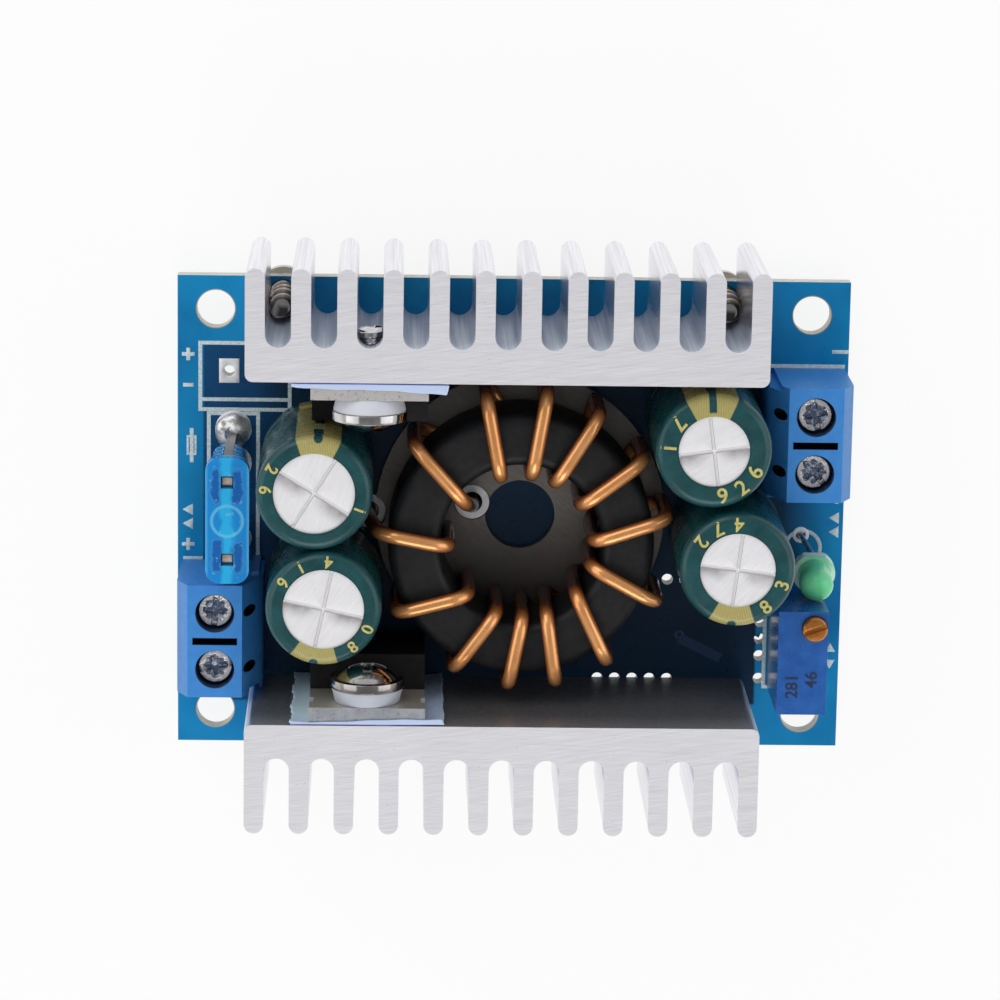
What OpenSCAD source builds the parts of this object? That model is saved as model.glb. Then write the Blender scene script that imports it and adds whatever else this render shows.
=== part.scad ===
// Step-up (boost) DC-DC converter module.
// Sizes are in millimetres. The origin is the centre of the mounting holes on the
// underside of the board, +X runs towards the output terminal and +Z out of the top.

/* [Circuit board] */
// Thickness of the board
board_t = 1.6; // [1:0.1:2.4]
// Board left beyond the axes of the heatsink screws
board_edge = 1.7; // [1.6:0.1:4]
// Mounting holes, distance from the short edges
mount_inset_x = 3.4; // [2.8:0.1:5]
// Mounting holes, distance from the long edges
mount_inset_y = 3; // [2.8:0.1:5]
// Mounting holes, diameter
mount_hole_d = 3.4; // [2.4:0.1:4.5]
// Spare plated holes, diameter
spare_hole_d = 1; // [0.6:0.1:1.2]
// Length of trimmed lead left below the board
lead_out = 1.3; // [0.8:0.1:1.5]

/* [Heatsinks] */
// Number of fins on each heatsink
fin_count = 12; // [8:1:13]
// Distance from fin to fin
fin_pitch = 3.92; // [3.4:0.02:4.2]
// Thickness of a fin
fin_t = 1.7; // [1.4:0.1:2]
// Length of a fin
fin_len = 6.8; // [5:0.1:12]
// Thickness of the base plate
sink_base_t = 3; // [2.4:0.1:5]
// Height of the heatsinks above the board
sink_h = 17.4; // [16.8:0.1:28]
// Radius on the inner corners of the base plate
sink_corner_r = 0.7; // [0.2:0.1:1.2]
// Shift of both heatsinks from the middle of the board
sink_x = -1; // [-3:0.1:1]

/* [Heatsink screws] */
// Thread diameter
sink_screw_d = 2.6; // [2.4:0.1:3]
// Length under the head
sink_screw_len = 8; // [6:0.5:12]
// Head diameter
sink_head_d = 4.6; // [4:0.1:5.4]
// Head height, which the module stands on
sink_head_h = 1.9; // [1.7:0.1:2.6]
// Distance of the screw axis from the slot floor
sink_screw_inset = 1.6; // [1.4:0.1:3]

/* [Transistors] */
// Fin slot that the fixing screw comes out in, counted from the input end
transistor_slot = 3; // [2:1:4]
// Width of the package
package_w = 10.1; // [9.6:0.1:10.6]
// Thickness of the package
package_t = 4.4; // [4.2:0.1:4.8]
// Height of the moulded body
body_h = 9.2; // [8.4:0.1:9.4]
// Height of the bare tab above the body
tab_h = 6.4; // [6:0.1:6.8]
// Thickness of the tab
tab_t = 1.3; // [1:0.1:1.5]
// Top of the tab below the top of the heatsink
tab_drop = 0.2; // [0:0.1:0.8]
// Hole in the tab
tab_hole_d = 3.7; // [3.6:0.1:4]
// Hole centre below the top of the tab
tab_hole_drop = 2.75; // [2.5:0.05:3]
// Distance between the legs
leg_pitch = 2.54; // [2.4:0.02:2.7]
// Width of a leg
leg_w = 0.8; // [0.6:0.1:1]
// Thickness of a leg
leg_t = 0.5; // [0.4:0.1:0.7]
// Legs behind the front of the package
leg_depth = 1.9; // [1.5:0.1:2.2]
// Insulating pad, width
pad_w = 13.6; // [12:0.1:15]
// Insulating pad, thickness
pad_t = 0.25; // [0.15:0.05:0.5]
// Insulating bush, flange diameter
bush_d = 6.3; // [5.4:0.1:7]
// Insulating bush, flange thickness
bush_flange_t = 1.3; // [0.8:0.1:1.6]
// Fixing screw, thread diameter
fix_screw_d = 3; // [2.5:0.1:3.2]
// Fixing screw, head diameter
fix_head_d = 6.5; // [5.4:0.1:7]
// Fixing screw, head height
fix_head_h = 2; // [1.6:0.1:2.4]
// Fixing screw, length that shows in the fin slot
fix_tip = 1.2; // [0.4:0.1:3]

/* [Choke] */
// Choke axis along Y
choke_y = 0.15; // [-0.5:0.05:0.5]
// Gap between the base disc and the transistors
choke_to_body = 0.15; // [0.1:0.05:2]
// Outside diameter of the core
core_od = 23.4; // [21:0.1:24]
// Inside diameter of the core
core_id = 14.2; // [13:0.1:15]
// Height of the core
core_h = 8.1; // [6:0.1:11]
// Radius on the edges of the core
core_edge_r = 1; // [0.4:0.1:1.5]
// Wound core off the middle of its base, along X
core_off_x = -0.12; // [-0.4:0.02:0.4]
// Wound core off the middle of its base, along Y
core_off_y = -0.7; // [-1:0.05:0.5]
// Diameter of the enamelled wire
wire_d = 1.3; // [0.9:0.05:1.4]
// Number of turns
turns = 13; // [8:1:14]
// Angle between turns
turn_step = 24.9; // [20:0.1:25]
// Angle of the first turn
first_turn = 139.3; // [130:0.1:150]
// Extra angle that sets the first and last turns apart
end_turn_gap = 8.9; // [6:0.1:16]
// Thickness of the base disc
choke_base_t = 0.9; // [0.6:0.1:1.6]
// Base disc beyond the core
choke_base_edge = 1.3; // [1.2:0.05:2]
// Hole in the middle of the base disc
choke_base_hole_d = 6.2; // [4:0.1:6.6]

/* [Capacitors] */
// Diameter over the sleeve
cap_d = 10.1; // [9:0.1:10.4]
// Height above the board
cap_h = 16; // [12:0.1:20]
// Thickness of the sleeve
sleeve_t = 0.15; // [0.1:0.05:0.3]
// Distance between the leads
cap_pitch = 5; // [3.5:0.1:5.2]
// Diameter of the leads
cap_lead_d = 0.6; // [0.5:0.05:0.8]
// Gap between the two input capacitors
input_cap_gap = 0.15; // [0.1:0.05:1]
// Gap between the two output capacitors along Y
output_cap_gap = 0.4; // [0.2:0.05:1]
// Gap between the output capacitors and the rear heatsink
output_cap_to_sink = 0.875; // [0.3:0.025:2]
// Gap between the input capacitors and the transistors
cap_to_body = 0.3; // [0.2:0.05:1]
// Gap between the input capacitors and the input terminal
input_cap_to_term = 0.48; // [0.2:0.02:4]
// Gap between the output capacitors and the output terminal
output_cap_to_term = 0.18; // [0.1:0.02:4]
// Gap between the input capacitors and the fuse
cap_to_fuse = 0.5; // [0.3:0.05:3]
// Gap between the output capacitors and the LED
cap_to_led = 0.3; // [0.2:0.05:3]

/* [Terminals] */
// Distance between the two poles
pole_pitch = 5.08; // [5:0.02:5.2]
// Height of the housing
term_h = 10; // [9.6:0.1:12]
// Housing from the pole axis to the wire side
term_out = 3.4; // [3.2:0.1:4]
// Housing from the pole axis to the back
term_back = 4.1; // [3.9:0.1:4.4]
// Half width of the flat top
term_top = 2.4; // [2.1:0.1:2.6]
// Wire side of the housing inside the edge of the board
term_edge = 0.35; // [0.2:0.05:1]
// Screw wells, diameter
well_d = 3.4; // [3.2:0.1:3.8]
// Terminal screws, thread diameter
pole_screw_d = 2.5; // [2.2:0.1:2.6]
// Terminal screws, head diameter
pole_head_d = 2.9; // [2.8:0.05:3]
// Gap between the input terminal and the front heatsink
input_term_to_sink = 0.445; // [0.2:0.005:3]
// Gap along Y between the output terminal and the rear heatsink
output_term_to_sink = 1.495; // [0.2:0.005:4]

/* [Trimmer, LED and fuse] */
// Length of the trimmer
trimmer_len = 9.4; // [9:0.1:10]
// Width of the trimmer
trimmer_w = 4.4; // [4.2:0.1:5]
// Height of the trimmer
trimmer_h = 10; // [8:0.1:11]
// Diameter of the trimmer screw
trimmer_screw_d = 2.2; // [1.8:0.1:2.4]
// Diameter of the LED
led_d = 3; // [2.8:0.1:3.1]
// Height of the LED flange above the board
led_lift = 2.7; // [2:0.1:5]
// Lean of the LED
led_lean = 9; // [0:1:10]
// Length of the fuse
fuse_len = 11.2; // [10.6:0.1:11.6]
// Thickness of the fuse
fuse_t = 3.8; // [3.4:0.1:4.2]
// Top of the fuse above the board
fuse_top = 12; // [11:0.1:14]
// Distance between the fuse blades
blade_pitch = 8.1; // [7.8:0.1:8.2]

/* [Hidden] */
$fn = 48;

// Overlap of cutting shapes past the faces they cut
cut = 0.5;
// Gap between a thread and its hole
thread_gap = 0.02;
// Running clearance of a turning screw in its hole
turn_gap = 0.05;

// Choke
wire_gap = 0.1;
wire_r = wire_d / 2;
core_z = board_t + choke_base_t + wire_d + 2 * wire_gap;
coil_low_z = core_z - wire_gap - wire_r;
coil_high_z = core_z + core_h + wire_gap + wire_r;
coil_in_r = core_id / 2 - wire_gap - wire_r;
coil_out_r = core_od / 2 + wire_gap + wire_r;
choke_base_d = core_od + 2 * choke_base_edge;
// Places of the wire's ends as radius and angle about the choke axis
wire_end_step = 1.15;
wire_start_step = 1.9;
wire_start = [coil_in_r - wire_start_step, 166];
wire_end = [coil_out_r + wire_end_step, 180];
wire_hole_gap = 0.2;
wire_slot_gap = 0.95;
wire_hole_d = wire_d + 2 * wire_hole_gap;
wire_slot_d = wire_d + 2 * wire_slot_gap;

// Capacitors
cap_stack_y = pad_t + package_t + cap_to_body + cap_d + input_cap_gap / 2;
output_cap_y = cap_stack_y - output_cap_to_sink - cap_d - output_cap_gap / 2;
// Name, end of the board, place along Y, gap to the base disc, turn, open top as a share of the diameter
caps = [
    ["input_capacitor_1", -1, (cap_d + input_cap_gap) / 2, 0.85, -32, 0.7],
    ["input_capacitor_2", -1, -(cap_d + input_cap_gap) / 2, 0.1, -12, 0.7],
    ["output_capacitor_1", 1, output_cap_y + (cap_d + output_cap_gap) / 2, 0.48, 8, 0.61],
    ["output_capacitor_2", 1, output_cap_y - (cap_d + output_cap_gap) / 2, 0.5, -7, 0.65]
];
function cap_y(c) = c[2];
function cap_reach(c) = choke_base_d / 2 + c[3] + cap_d / 2;
function cap_dx(c) = sqrt(pow(cap_reach(c), 2) - pow(cap_y(c) - choke_y, 2));
function cap_x(c) = choke_x + c[1] * cap_dx(c);
function cap_turn(c) = c[4];
function cap_open_d(c) = c[5] * cap_d;
can_d = cap_d - 2 * sleeve_t;
can_low = 0.1;
can_top = cap_h - sleeve_t;
can_edge_r = 0.8;
crimp_z = 2.3;
crimp_r = 0.85;
crimp_depth = 0.45;
can_curl = 0.7;
seal_d = can_d - 2 * can_curl;
seal_h = 1.6;
vent_w = 0.25;
vent_depth = 0.15;
vent_inset = 0.15;
sleeve_hem = 0.2;
function cap_lead_at(c, s) = [
    cap_x(c) + s * cap_pitch / 2 * cos(cap_turn(c)),
    cap_y(c) + s * cap_pitch / 2 * sin(cap_turn(c))
];

// Length of the board: from the choke out to each end, over the widest row of parts
term_row = term_back + term_out + term_edge;
fuse_inset = 4.9;
led_inset = 2.85;
led_flange_d = led_d + 0.8;
board_step = 0.05;
function cap_row(c, gap) = cap_dx(c) + cap_d / 2 + gap;
function step_up(len) = board_step * ceil(len / board_step);
input_reach = step_up(max(cap_row(caps[1], input_cap_to_term) + term_row,
    cap_row(caps[0], cap_to_fuse) + fuse_t / 2 + fuse_inset));
output_reach = step_up(max(cap_row(caps[2], output_cap_to_term) + term_row,
    cap_row(caps[3], cap_to_led) + led_flange_d / 2 + led_inset));
board_w = input_reach + output_reach;
choke_x = (input_reach - output_reach) / 2;
core_at = [choke_x + core_off_x, choke_y + core_off_y];

// Heatsinks
slot_w = fin_pitch - fin_t;
sink_len = (fin_count - 1) * fin_pitch + fin_t;
package_end_dx = slot_x(transistor_slot) + package_w / 2 - choke_x;
choke_stack_y = choke_y + pad_t + package_t
    + sqrt(max(0, pow(choke_base_d / 2 + choke_to_body, 2) - pow(package_end_dx, 2)));
sink_face_y = max(cap_stack_y, choke_stack_y);
slot_floor_y = sink_face_y + sink_base_t;
sink_screw_y = slot_floor_y + sink_screw_inset;
function slot_x(k) = sink_x + (k - fin_count / 2) * fin_pitch;
sink_screw_xs = [slot_x(1), slot_x(fin_count - 1)];

// Board
board_d = 2 * (sink_screw_y + board_edge);
mount_pitch_x = board_w - 2 * mount_inset_x;
mount_pitch_y = board_d - 2 * mount_inset_y;
screw_clear = 0.1;
lead_clear = 0.3;
pin_clear = 0.1;

// Transistors
transistor_x = slot_x(transistor_slot);
tab_top_z = board_t + sink_h - tab_drop;
body_top_z = tab_top_z - tab_h;
body_low_z = body_top_z - body_h;
tab_back_y = sink_face_y - pad_t;
tab_front_y = tab_back_y - tab_t;
package_front_y = tab_back_y - package_t;
leg_y = package_front_y + leg_depth;
fix_z = tab_top_z - tab_hole_drop;
leg_shoulder = 1.2;
tab_foot = 2.6;
tab_link_h = 1;
pad_foot = 0.3;
bush_fit = 0.04;
leg_xs = [for (k = [-1:1]) transistor_x + k * leg_pitch];

// Terminals, drawn with the wire side towards +X and the poles along Y
term_len = 2 * pole_pitch;
input_term_y = input_term_to_sink + term_len / 2 - sink_face_y;
output_term_y = sink_face_y - output_term_to_sink - term_len / 2;
term_x = board_w / 2 - term_edge - term_out;
poles = [pole_pitch / 2, -pole_pitch / 2];
back_bevel_z = 0.6 * term_h;
front_bevel_z = 0.8 * term_h;
bar_w = 2.2;
bar_t = 0.7;
bar_z = 3.6;
pin_t = 0.7;
pin_w = 1;
pin_x = -2.95;
cage_gap = 0.15;
cage_l = 4.1;
cage_x = -0.2;
cage_w = 3.7;
cage_wall = 0.5;
cage_roof = 1;
wire_room = 2.05;
bar_gap = 0.1;
cage_top = bar_z + bar_t + bar_gap + cage_roof;
cage_low = bar_z - wire_room - cage_wall;
cage_h = cage_top - cage_low;
seat_z = 7.7;
seat_t = 0.5;
pole_head_h = 1.1;
pole_slot_w = 0.5;
pole_slot_turns = [[12, 85], [103, 130]];
entry_w = 3;
entry_h = 2.9;
entry_drop = 0.25;
entry_z = bar_z - wire_room - entry_drop;
test_hole_d = 0.9;
test_hole_inset = 1.1;
divider_w = 0.6;
divider_l = 3.9;
rail_x = -3.4;
rail_w = 0.7;
rail_depth = 0.4;
rail_gap = 0.1;

// Trimmer, LED and fuse
trimmer_inset = 4.3;
trimmer_to_mount = 0.925;
trimmer_x = board_w / 2 - trimmer_inset;
trimmer_y = (mount_hole_d - mount_pitch_y + trimmer_len) / 2 + trimmer_to_mount;
trimmer_foot = 0.3;
trimmer_pin_d = 0.5;
trimmer_pin_pitch = 2.54;
trimmer_pin_in = 1;
trimmer_screw_inset = [1.2, 1.5];
trimmer_screw_at = [trimmer_x + trimmer_w / 2, trimmer_y + trimmer_len / 2] - trimmer_screw_inset;
trimmer_screw_up = 0.7;
trimmer_screw_in = 1.6;
led_to_trimmer = 2.1;
led_x = board_w / 2 - led_inset;
led_y = trimmer_y + trimmer_len / 2 + led_to_trimmer;
led_pitch = 2.54;
led_lead_d = 0.5;
led_bend_d = 1.08 * led_lead_d;
led_flange_t = 1;
led_flat = 0.22;
led_body_h = 3.4;
led_hole_step = [-0.95, 2.6];
led_hole_skew = 0.3;
led_hole_1 = [led_x, led_y] + led_hole_step;
led_hole_2 = led_hole_1 + [led_hole_skew, -led_pitch];
fuse_x = fuse_inset - board_w / 2;
fuse_gap = 0.66;
fuse_y = input_term_y + term_len / 2 + fuse_gap + fuse_len / 2;
fuse_body_h = 6.8;
fuse_head_h = 1.5;
fuse_step = 0.35;
fuse_end_step = 0.12;
fuse_corner_r = 1.2;
fuse_groove = 0.35;
probe_w = 1.1;
probe_shift = 0.6;
blade_w = 2.8;
blade_t = 0.8;
blade_fit = 0.05;
blade_drop = 1.1;
blade_top = fuse_top - blade_drop;
blade_ys = [fuse_y + blade_pitch / 2, fuse_y - blade_pitch / 2];
link_r = 1.7;
link_t = 0.4;
link_w = 0.9;

// Solder
solder_h = 1;
solder_spread = 0.9;
solder_tip = 0.2;

// Underside
chip_at = [choke_x + 5.25, choke_y - 4.75];
chip_size = [4.9, 3.9, 1.4];
chip_leg_pitch = 1.27;
chip_stand = 0.1;
part_size = [2, 1.25, 0.6];
part_end = 0.4;
part_pitch = 3.2;
// Rows of chip parts: place from the choke axis and number
part_rows = [[-1.75, -9.75, 5], [1.25, 4.05, 4]];
part_spots = [for (r = part_rows, k = [0:r[2] - 1]) [choke_x + r[0] + k * part_pitch, choke_y + r[1]]];

// Shared shapes

// Mirror a copy to the front edge of the board
module front() {
    mirror([0, 1, 0]) children();
}

// Bar of round section from one point to another
module rod(a, b, d) {
    v = b - a;
    l = norm(v);
    translate(a) rotate([0, acos(v[2] / l), atan2(v[1], v[0])]) cylinder(d = d, h = l);
}

// Square-edged block centred in X and Y
module block(size, at) {
    translate([at[0] - size[0] / 2, at[1] - size[1] / 2, at[2]]) cube(size);
}

// Rounded rectangle made of squares and circles
module round_rect(w, h, r) {
    square([w - 2 * r, h], center = true);
    square([w, h - 2 * r], center = true);
    for (x = [-1, 1], y = [-1, 1]) translate([x * (w / 2 - r), y * (h / 2 - r)]) circle(r = r);
}

// Cross recess of a screw, cut downwards from z = 0
module cross_recess(span, w, depth) {
    for (a = [0, 90]) rotate(a) block([span, w, depth + cut], [0, 0, -depth]);
}

// Lists of the through holes and of the leads in them

cap_leads = [for (c = caps) for (s = [-1, 1]) cap_lead_at(c, s)];
trimmer_leads = [for (k = [-1:1]) [trimmer_x, trimmer_y + k * trimmer_pin_pitch]];
led_holes = [led_hole_1, led_hole_2];
function choke_at(p) = [choke_x + p[0] * cos(p[1]), choke_y + p[0] * sin(p[1])];
wire_holes = [choke_at(wire_start), choke_at(wire_end)];
leg_holes = [for (x = leg_xs) for (s = [-1, 1]) [x, s * leg_y]];
term_pin_at = [
    for (p = poles) [term_x + pin_x, output_term_y + p],
    for (p = poles) [-term_x - pin_x, input_term_y - p]
];
blade_holes = [for (y = blade_ys) [fuse_x, y]];

// Board

spare_pitch = 1.58;
spare_steps = [0.8, -0.2, -1.2, -2.55];
spare_column_x = trimmer_x - trimmer_w / 2 - 0.75;
spare_column = [for (k = spare_steps) [spare_column_x, trimmer_y + k * spare_pitch]];
// Rows of spare holes: start from the choke axis and number
spare_rows = [[7.3, -0.1 - sink_face_y, 5], [11.9, choke_y - 6.1, 3]];
spare_row = [for (r = spare_rows, k = [0:r[2] - 1]) [choke_x + r[0] + k * spare_pitch, r[1]]];
fan_pitch = 2.54;
fan_at = [fuse_x - 0.3, sink_face_y - 2.3];
fan_holes = [for (k = [0:1]) fan_at + [k * fan_pitch, 0]];

module drill(places, d) {
    for (p = places) translate([p[0], p[1], -cut]) cylinder(d = d, h = board_t + 2 * cut);
}

module circuit_board() {
    color("dodgerblue") difference() {
        block([board_w, board_d, board_t], [0, 0, 0]);
        drill([for (x = [-1, 1], y = [-1, 1]) [x * mount_pitch_x, y * mount_pitch_y] / 2], mount_hole_d);
        drill([for (x = sink_screw_xs, s = [-1, 1]) [x, s * sink_screw_y]], sink_screw_d + 2 * screw_clear);
        drill(cap_leads, cap_lead_d + lead_clear);
        drill(trimmer_leads, trimmer_pin_d + lead_clear);
        drill(led_holes, led_lead_d + lead_clear);
        drill(wire_holes, wire_hole_d);
        drill(leg_holes, leg_w + lead_clear + pin_clear);
        drill(term_pin_at, norm([pin_w, pin_t]) + pin_clear);
        drill(concat(spare_column, spare_row, fan_holes), spare_hole_d);
        for (p = blade_holes)
            block([blade_t + lead_clear, blade_w + lead_clear, board_t + 2 * cut], [p[0], p[1], -cut]);
    }
}

// Heatsinks

// Cross-section of the extrusion, inner face on Y = 0 and fins towards +Y
module sink_profile() {
    difference() {
        union() {
            translate([-sink_len / 2, sink_corner_r]) square([sink_len, sink_base_t + slot_w / 2 - sink_corner_r]);
            translate([sink_corner_r - sink_len / 2, 0]) square([sink_len - 2 * sink_corner_r, sink_base_t]);
            for (s = [-1, 1])
                translate([s * (sink_len / 2 - sink_corner_r), sink_corner_r]) circle(r = sink_corner_r);
        }
        for (k = [1:fin_count - 1])
            translate([(k - fin_count / 2) * fin_pitch, sink_base_t + slot_w / 2]) circle(d = slot_w);
    }
    for (k = [0:fin_count - 1]) translate([(k - (fin_count - 1) / 2) * fin_pitch, 0]) {
        translate([-fin_t / 2, sink_base_t]) square([fin_t, fin_len - fin_t / 2]);
        translate([0, sink_base_t + fin_len - fin_t / 2]) circle(d = fin_t);
    }
}

module heatsink() {
    difference() {
        translate([sink_x, sink_face_y, board_t]) linear_extrude(sink_h) sink_profile();
        for (x = sink_screw_xs) translate([x, sink_screw_y, board_t - cut])
            cylinder(d = sink_screw_d + 2 * thread_gap, h = sink_screw_len - board_t + 2 * cut);
        translate([transistor_x, sink_face_y - cut, fix_z]) rotate([-90, 0, 0])
            cylinder(d = fix_screw_d + 2 * thread_gap, h = sink_base_t + fix_tip + 2 * cut);
    }
}

module rear_heatsink() {
    color("silver") heatsink();
}

module front_heatsink() {
    color("silver") front() heatsink();
}

// Self-tapping screw driven up through the board into a fin slot
module sink_screw() {
    chamfer = 0.25;
    half_h = sink_head_h / 2;
    recess_w = 0.6;
    recess_depth = 0.8;
    difference() {
        union() {
            translate([0, 0, -sink_head_h]) cylinder(d1 = 0.7 * sink_head_d, d2 = sink_head_d, h = half_h);
            translate([0, 0, -half_h]) cylinder(d = sink_head_d, h = half_h);
            cylinder(d = sink_screw_d, h = sink_screw_len - chamfer);
            translate([0, 0, sink_screw_len - chamfer])
                cylinder(d1 = sink_screw_d, d2 = sink_screw_d - 2 * chamfer, h = chamfer);
        }
        translate([0, 0, -sink_head_h]) mirror([0, 0, 1])
            cross_recess(0.5 * sink_head_d, recess_w, recess_depth);
    }
}

module heatsink_screws() {
    color("lightgray") for (x = sink_screw_xs, s = [-1, 1]) translate([x, s * sink_screw_y, 0]) sink_screw();
}

// Transistors

// Leg from inside the body down through the board, with a wide shoulder
module leg(x) {
    bury = 1;
    shoulder_lift = 0.3;
    narrow_top = board_t + shoulder_lift;
    block([leg_w, leg_t, narrow_top + lead_out], [x, leg_y, -lead_out]);
    block([leg_shoulder, leg_t, body_low_z + bury - narrow_top], [x, leg_y, narrow_top]);
}

// Tab with the middle leg in one piece, and the two outer legs
module lead_frame() {
    notch = 0.7;
    notch_h = 1.5;
    difference() {
        block([package_w, tab_t, tab_top_z - body_low_z - tab_foot],
            [transistor_x, tab_back_y - tab_t / 2, body_low_z + tab_foot]);
        translate([transistor_x, tab_front_y - cut, fix_z]) rotate([-90, 0, 0])
            cylinder(d = tab_hole_d, h = tab_t + 2 * cut);
        for (s = [-1, 1])
            block([notch, tab_t + 2 * cut, notch_h],
                [transistor_x + s * package_w / 2, tab_back_y - tab_t / 2, fix_z - notch_h / 2]);
    }
    for (x = leg_xs) leg(x);
    link_z = body_low_z + tab_foot;
    block([leg_shoulder, leg_t, link_z + tab_link_h - body_low_z], [transistor_x, leg_y, body_low_z]);
    block([leg_shoulder, tab_front_y - leg_y, tab_link_h], [transistor_x, (tab_front_y + leg_y) / 2, link_z]);
}

module transistor_tab() {
    color("gainsboro") lead_frame();
}

module transistor_body() {
    draft = 0.35;
    draft_angle = 12;
    dimple_d = 1.5;
    dimple_depth = 0.15;
    dimple_drop = 2;
    color([0.13, 0.13, 0.14]) difference() {
        block([package_w, package_t, body_h], [transistor_x, package_front_y + package_t / 2, body_low_z]);
        lead_frame();
        // sloped top and bottom of the moulding, in front of the tab
        for (s = [-1, 1]) translate([transistor_x, package_front_y, body_low_z + body_h * (1 + s) / 2])
            rotate([s * draft_angle, 0, 0]) block([package_w + 2 * cut, package_t, 2 * draft], [0, -cut, -draft]);
        // dimple left by the moulding pin
        translate([transistor_x - package_w / 4, package_front_y - cut, body_top_z - dimple_drop])
            rotate([-90, 0, 0]) cylinder(d = dimple_d, h = cut + dimple_depth);
    }
}

module insulating_pad() {
    color("lightsteelblue") difference() {
        block([pad_w, pad_t, sink_h - pad_foot], [transistor_x, sink_face_y - pad_t / 2, board_t + pad_foot]);
        translate([transistor_x, tab_back_y - cut, fix_z]) rotate([-90, 0, 0])
            cylinder(d = tab_hole_d, h = pad_t + 2 * cut);
    }
}

module insulating_bush() {
    color("white") translate([transistor_x, tab_front_y, fix_z]) rotate([90, 0, 0]) difference() {
        union() {
            cylinder(d1 = 0.9 * bush_d, d2 = bush_d, h = bush_flange_t);
            translate([0, 0, -tab_t]) cylinder(d = tab_hole_d - 2 * bush_fit, h = tab_t + bush_flange_t / 2);
        }
        translate([0, 0, -tab_t - cut])
            cylinder(d = fix_screw_d + 2 * bush_fit, h = tab_t + bush_flange_t + 2 * cut);
    }
}

module transistor_screw() {
    rim_h = 0.4 * fix_head_h;
    dome_h = fix_head_h - rim_h;
    dome_d = 0.84 * fix_head_d;
    dome_r = (pow(dome_d / 2, 2) + pow(dome_h, 2)) / (2 * dome_h);
    reach = bush_flange_t + tab_t + pad_t + sink_base_t + fix_tip;
    chamfer = 0.3;
    recess_w = 0.8;
    recess_depth = 1.1;
    head_y = tab_front_y - bush_flange_t;
    color("lightgray") translate([transistor_x, head_y, fix_z]) rotate([90, 0, 0]) difference() {
        union() {
            cylinder(d = fix_head_d, h = rim_h);
            intersection() {
                translate([0, 0, fix_head_h - dome_r]) sphere(r = dome_r);
                cylinder(d = fix_head_d, h = fix_head_h);
            }
            translate([0, 0, chamfer - reach]) cylinder(d = fix_screw_d, h = reach - chamfer);
            translate([0, 0, -reach]) cylinder(d1 = fix_screw_d - 2 * chamfer, d2 = fix_screw_d, h = chamfer);
        }
        translate([0, 0, fix_head_h]) cross_recess(0.5 * fix_head_d, recess_w, recess_depth);
    }
}

// Choke

module choke_core() {
    wall = (core_od - core_id) / 2;
    color([0.16, 0.16, 0.17]) translate([core_at[0], core_at[1], core_z]) rotate_extrude($fn = 96)
        translate([core_id / 2 + wall / 2, core_h / 2]) round_rect(wall, core_h, core_edge_r);
}

module choke_base() {
    color([0.3, 0.28, 0.27]) difference() {
        translate([choke_x, choke_y, board_t]) cylinder(d = choke_base_d, h = choke_base_t);
        translate([choke_x, choke_y, board_t - cut]) cylinder(d = choke_base_hole_d, h = choke_base_t + 2 * cut);
        for (p = wire_holes) translate([p[0], p[1], board_t - cut])
            cylinder(d = wire_slot_d, h = choke_base_t + 2 * cut);
    }
}

// Hand-laid turns: angle off even steps, lean across the top and slack outside the core
turn_lay = [
    [0, -5.1, 0.55], [0, -3.4, 1.05], [1.5, -1.3, 1.25], [6.2, -2.5, 1.05], [5.3, 0.8, 0.7],
    [2.2, 7.1, 0.55], [0, -6.7, 0.5], [-3.2, -12.6, 0.45], [-3.4, -6.6, 0.25], [2.3, -6.4, 0.2],
    [5.2, -8.5, 0.05], [0, -14.8, 0], [-5, -5.6, 0]
];
function lay(i) = turn_lay[i % len(turn_lay)];
function turn_angle(i) = first_turn - turn_step * i - (i > 0 ? end_turn_gap : 0)
    - (i == turns - 1 ? end_turn_gap : 0) + lay(i)[0];
function ring_point(r, a, z) = [core_at[0] + r * cos(a), core_at[1] + r * sin(a), z];
function in_point(i, z) = ring_point(coil_in_r, turn_angle(i) - lay(i)[1] / 2, z);
function out_point(i, z) = ring_point(coil_out_r + lay(i)[2], turn_angle(i) + lay(i)[1] / 2, z);

// Corners of the wire's route: up inside the ring, over the top, down outside and under
route = concat(
    [for (z = [-lead_out, core_z]) [each choke_at(wire_start), z]],
    [for (i = [0:turns - 1]) each [
        if (i > 0) in_point(i, coil_low_z),
        in_point(i, coil_high_z),
        out_point(i, coil_high_z),
        if (i < turns - 1) out_point(i, coil_low_z)
    ]],
    [for (z = [core_z, -lead_out]) [each choke_at(wire_end), z]]
);

// The route with each corner rounded into a short curve
bend = 1.6;
bend_steps = 3;
function unit(v) = v / norm(v);
function corner(p, q, r, t) =
    pow(1 - t, 2) * (q + bend * unit(p - q)) + 2 * t * (1 - t) * q + pow(t, 2) * (q + bend * unit(r - q));
wire_path = concat(
    [route[0]],
    [for (j = [1:len(route) - 2], k = [0:bend_steps])
        corner(route[j - 1], route[j], route[j + 1], k / bend_steps)],
    [route[len(route) - 1]]
);

// Ring of points round the wire, squared up to the ring core so that it never twists
wire_sides = 8;
function path_dir(j) = unit(wire_path[min(j + 1, len(wire_path) - 1)] - wire_path[max(j - 1, 0)]);
function round_dir(p) = unit([core_at[1] - p[1], p[0] - core_at[0], 0]);
function wire_ring(j) = let(
    p = wire_path[j],
    t = path_dir(j),
    n = unit(cross(t, round_dir(p))),
    b = cross(t, n)
) [for (k = [0:wire_sides - 1]) p + wire_r * (cos(360 * k / wire_sides) * n + sin(360 * k / wire_sides) * b)];

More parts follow.
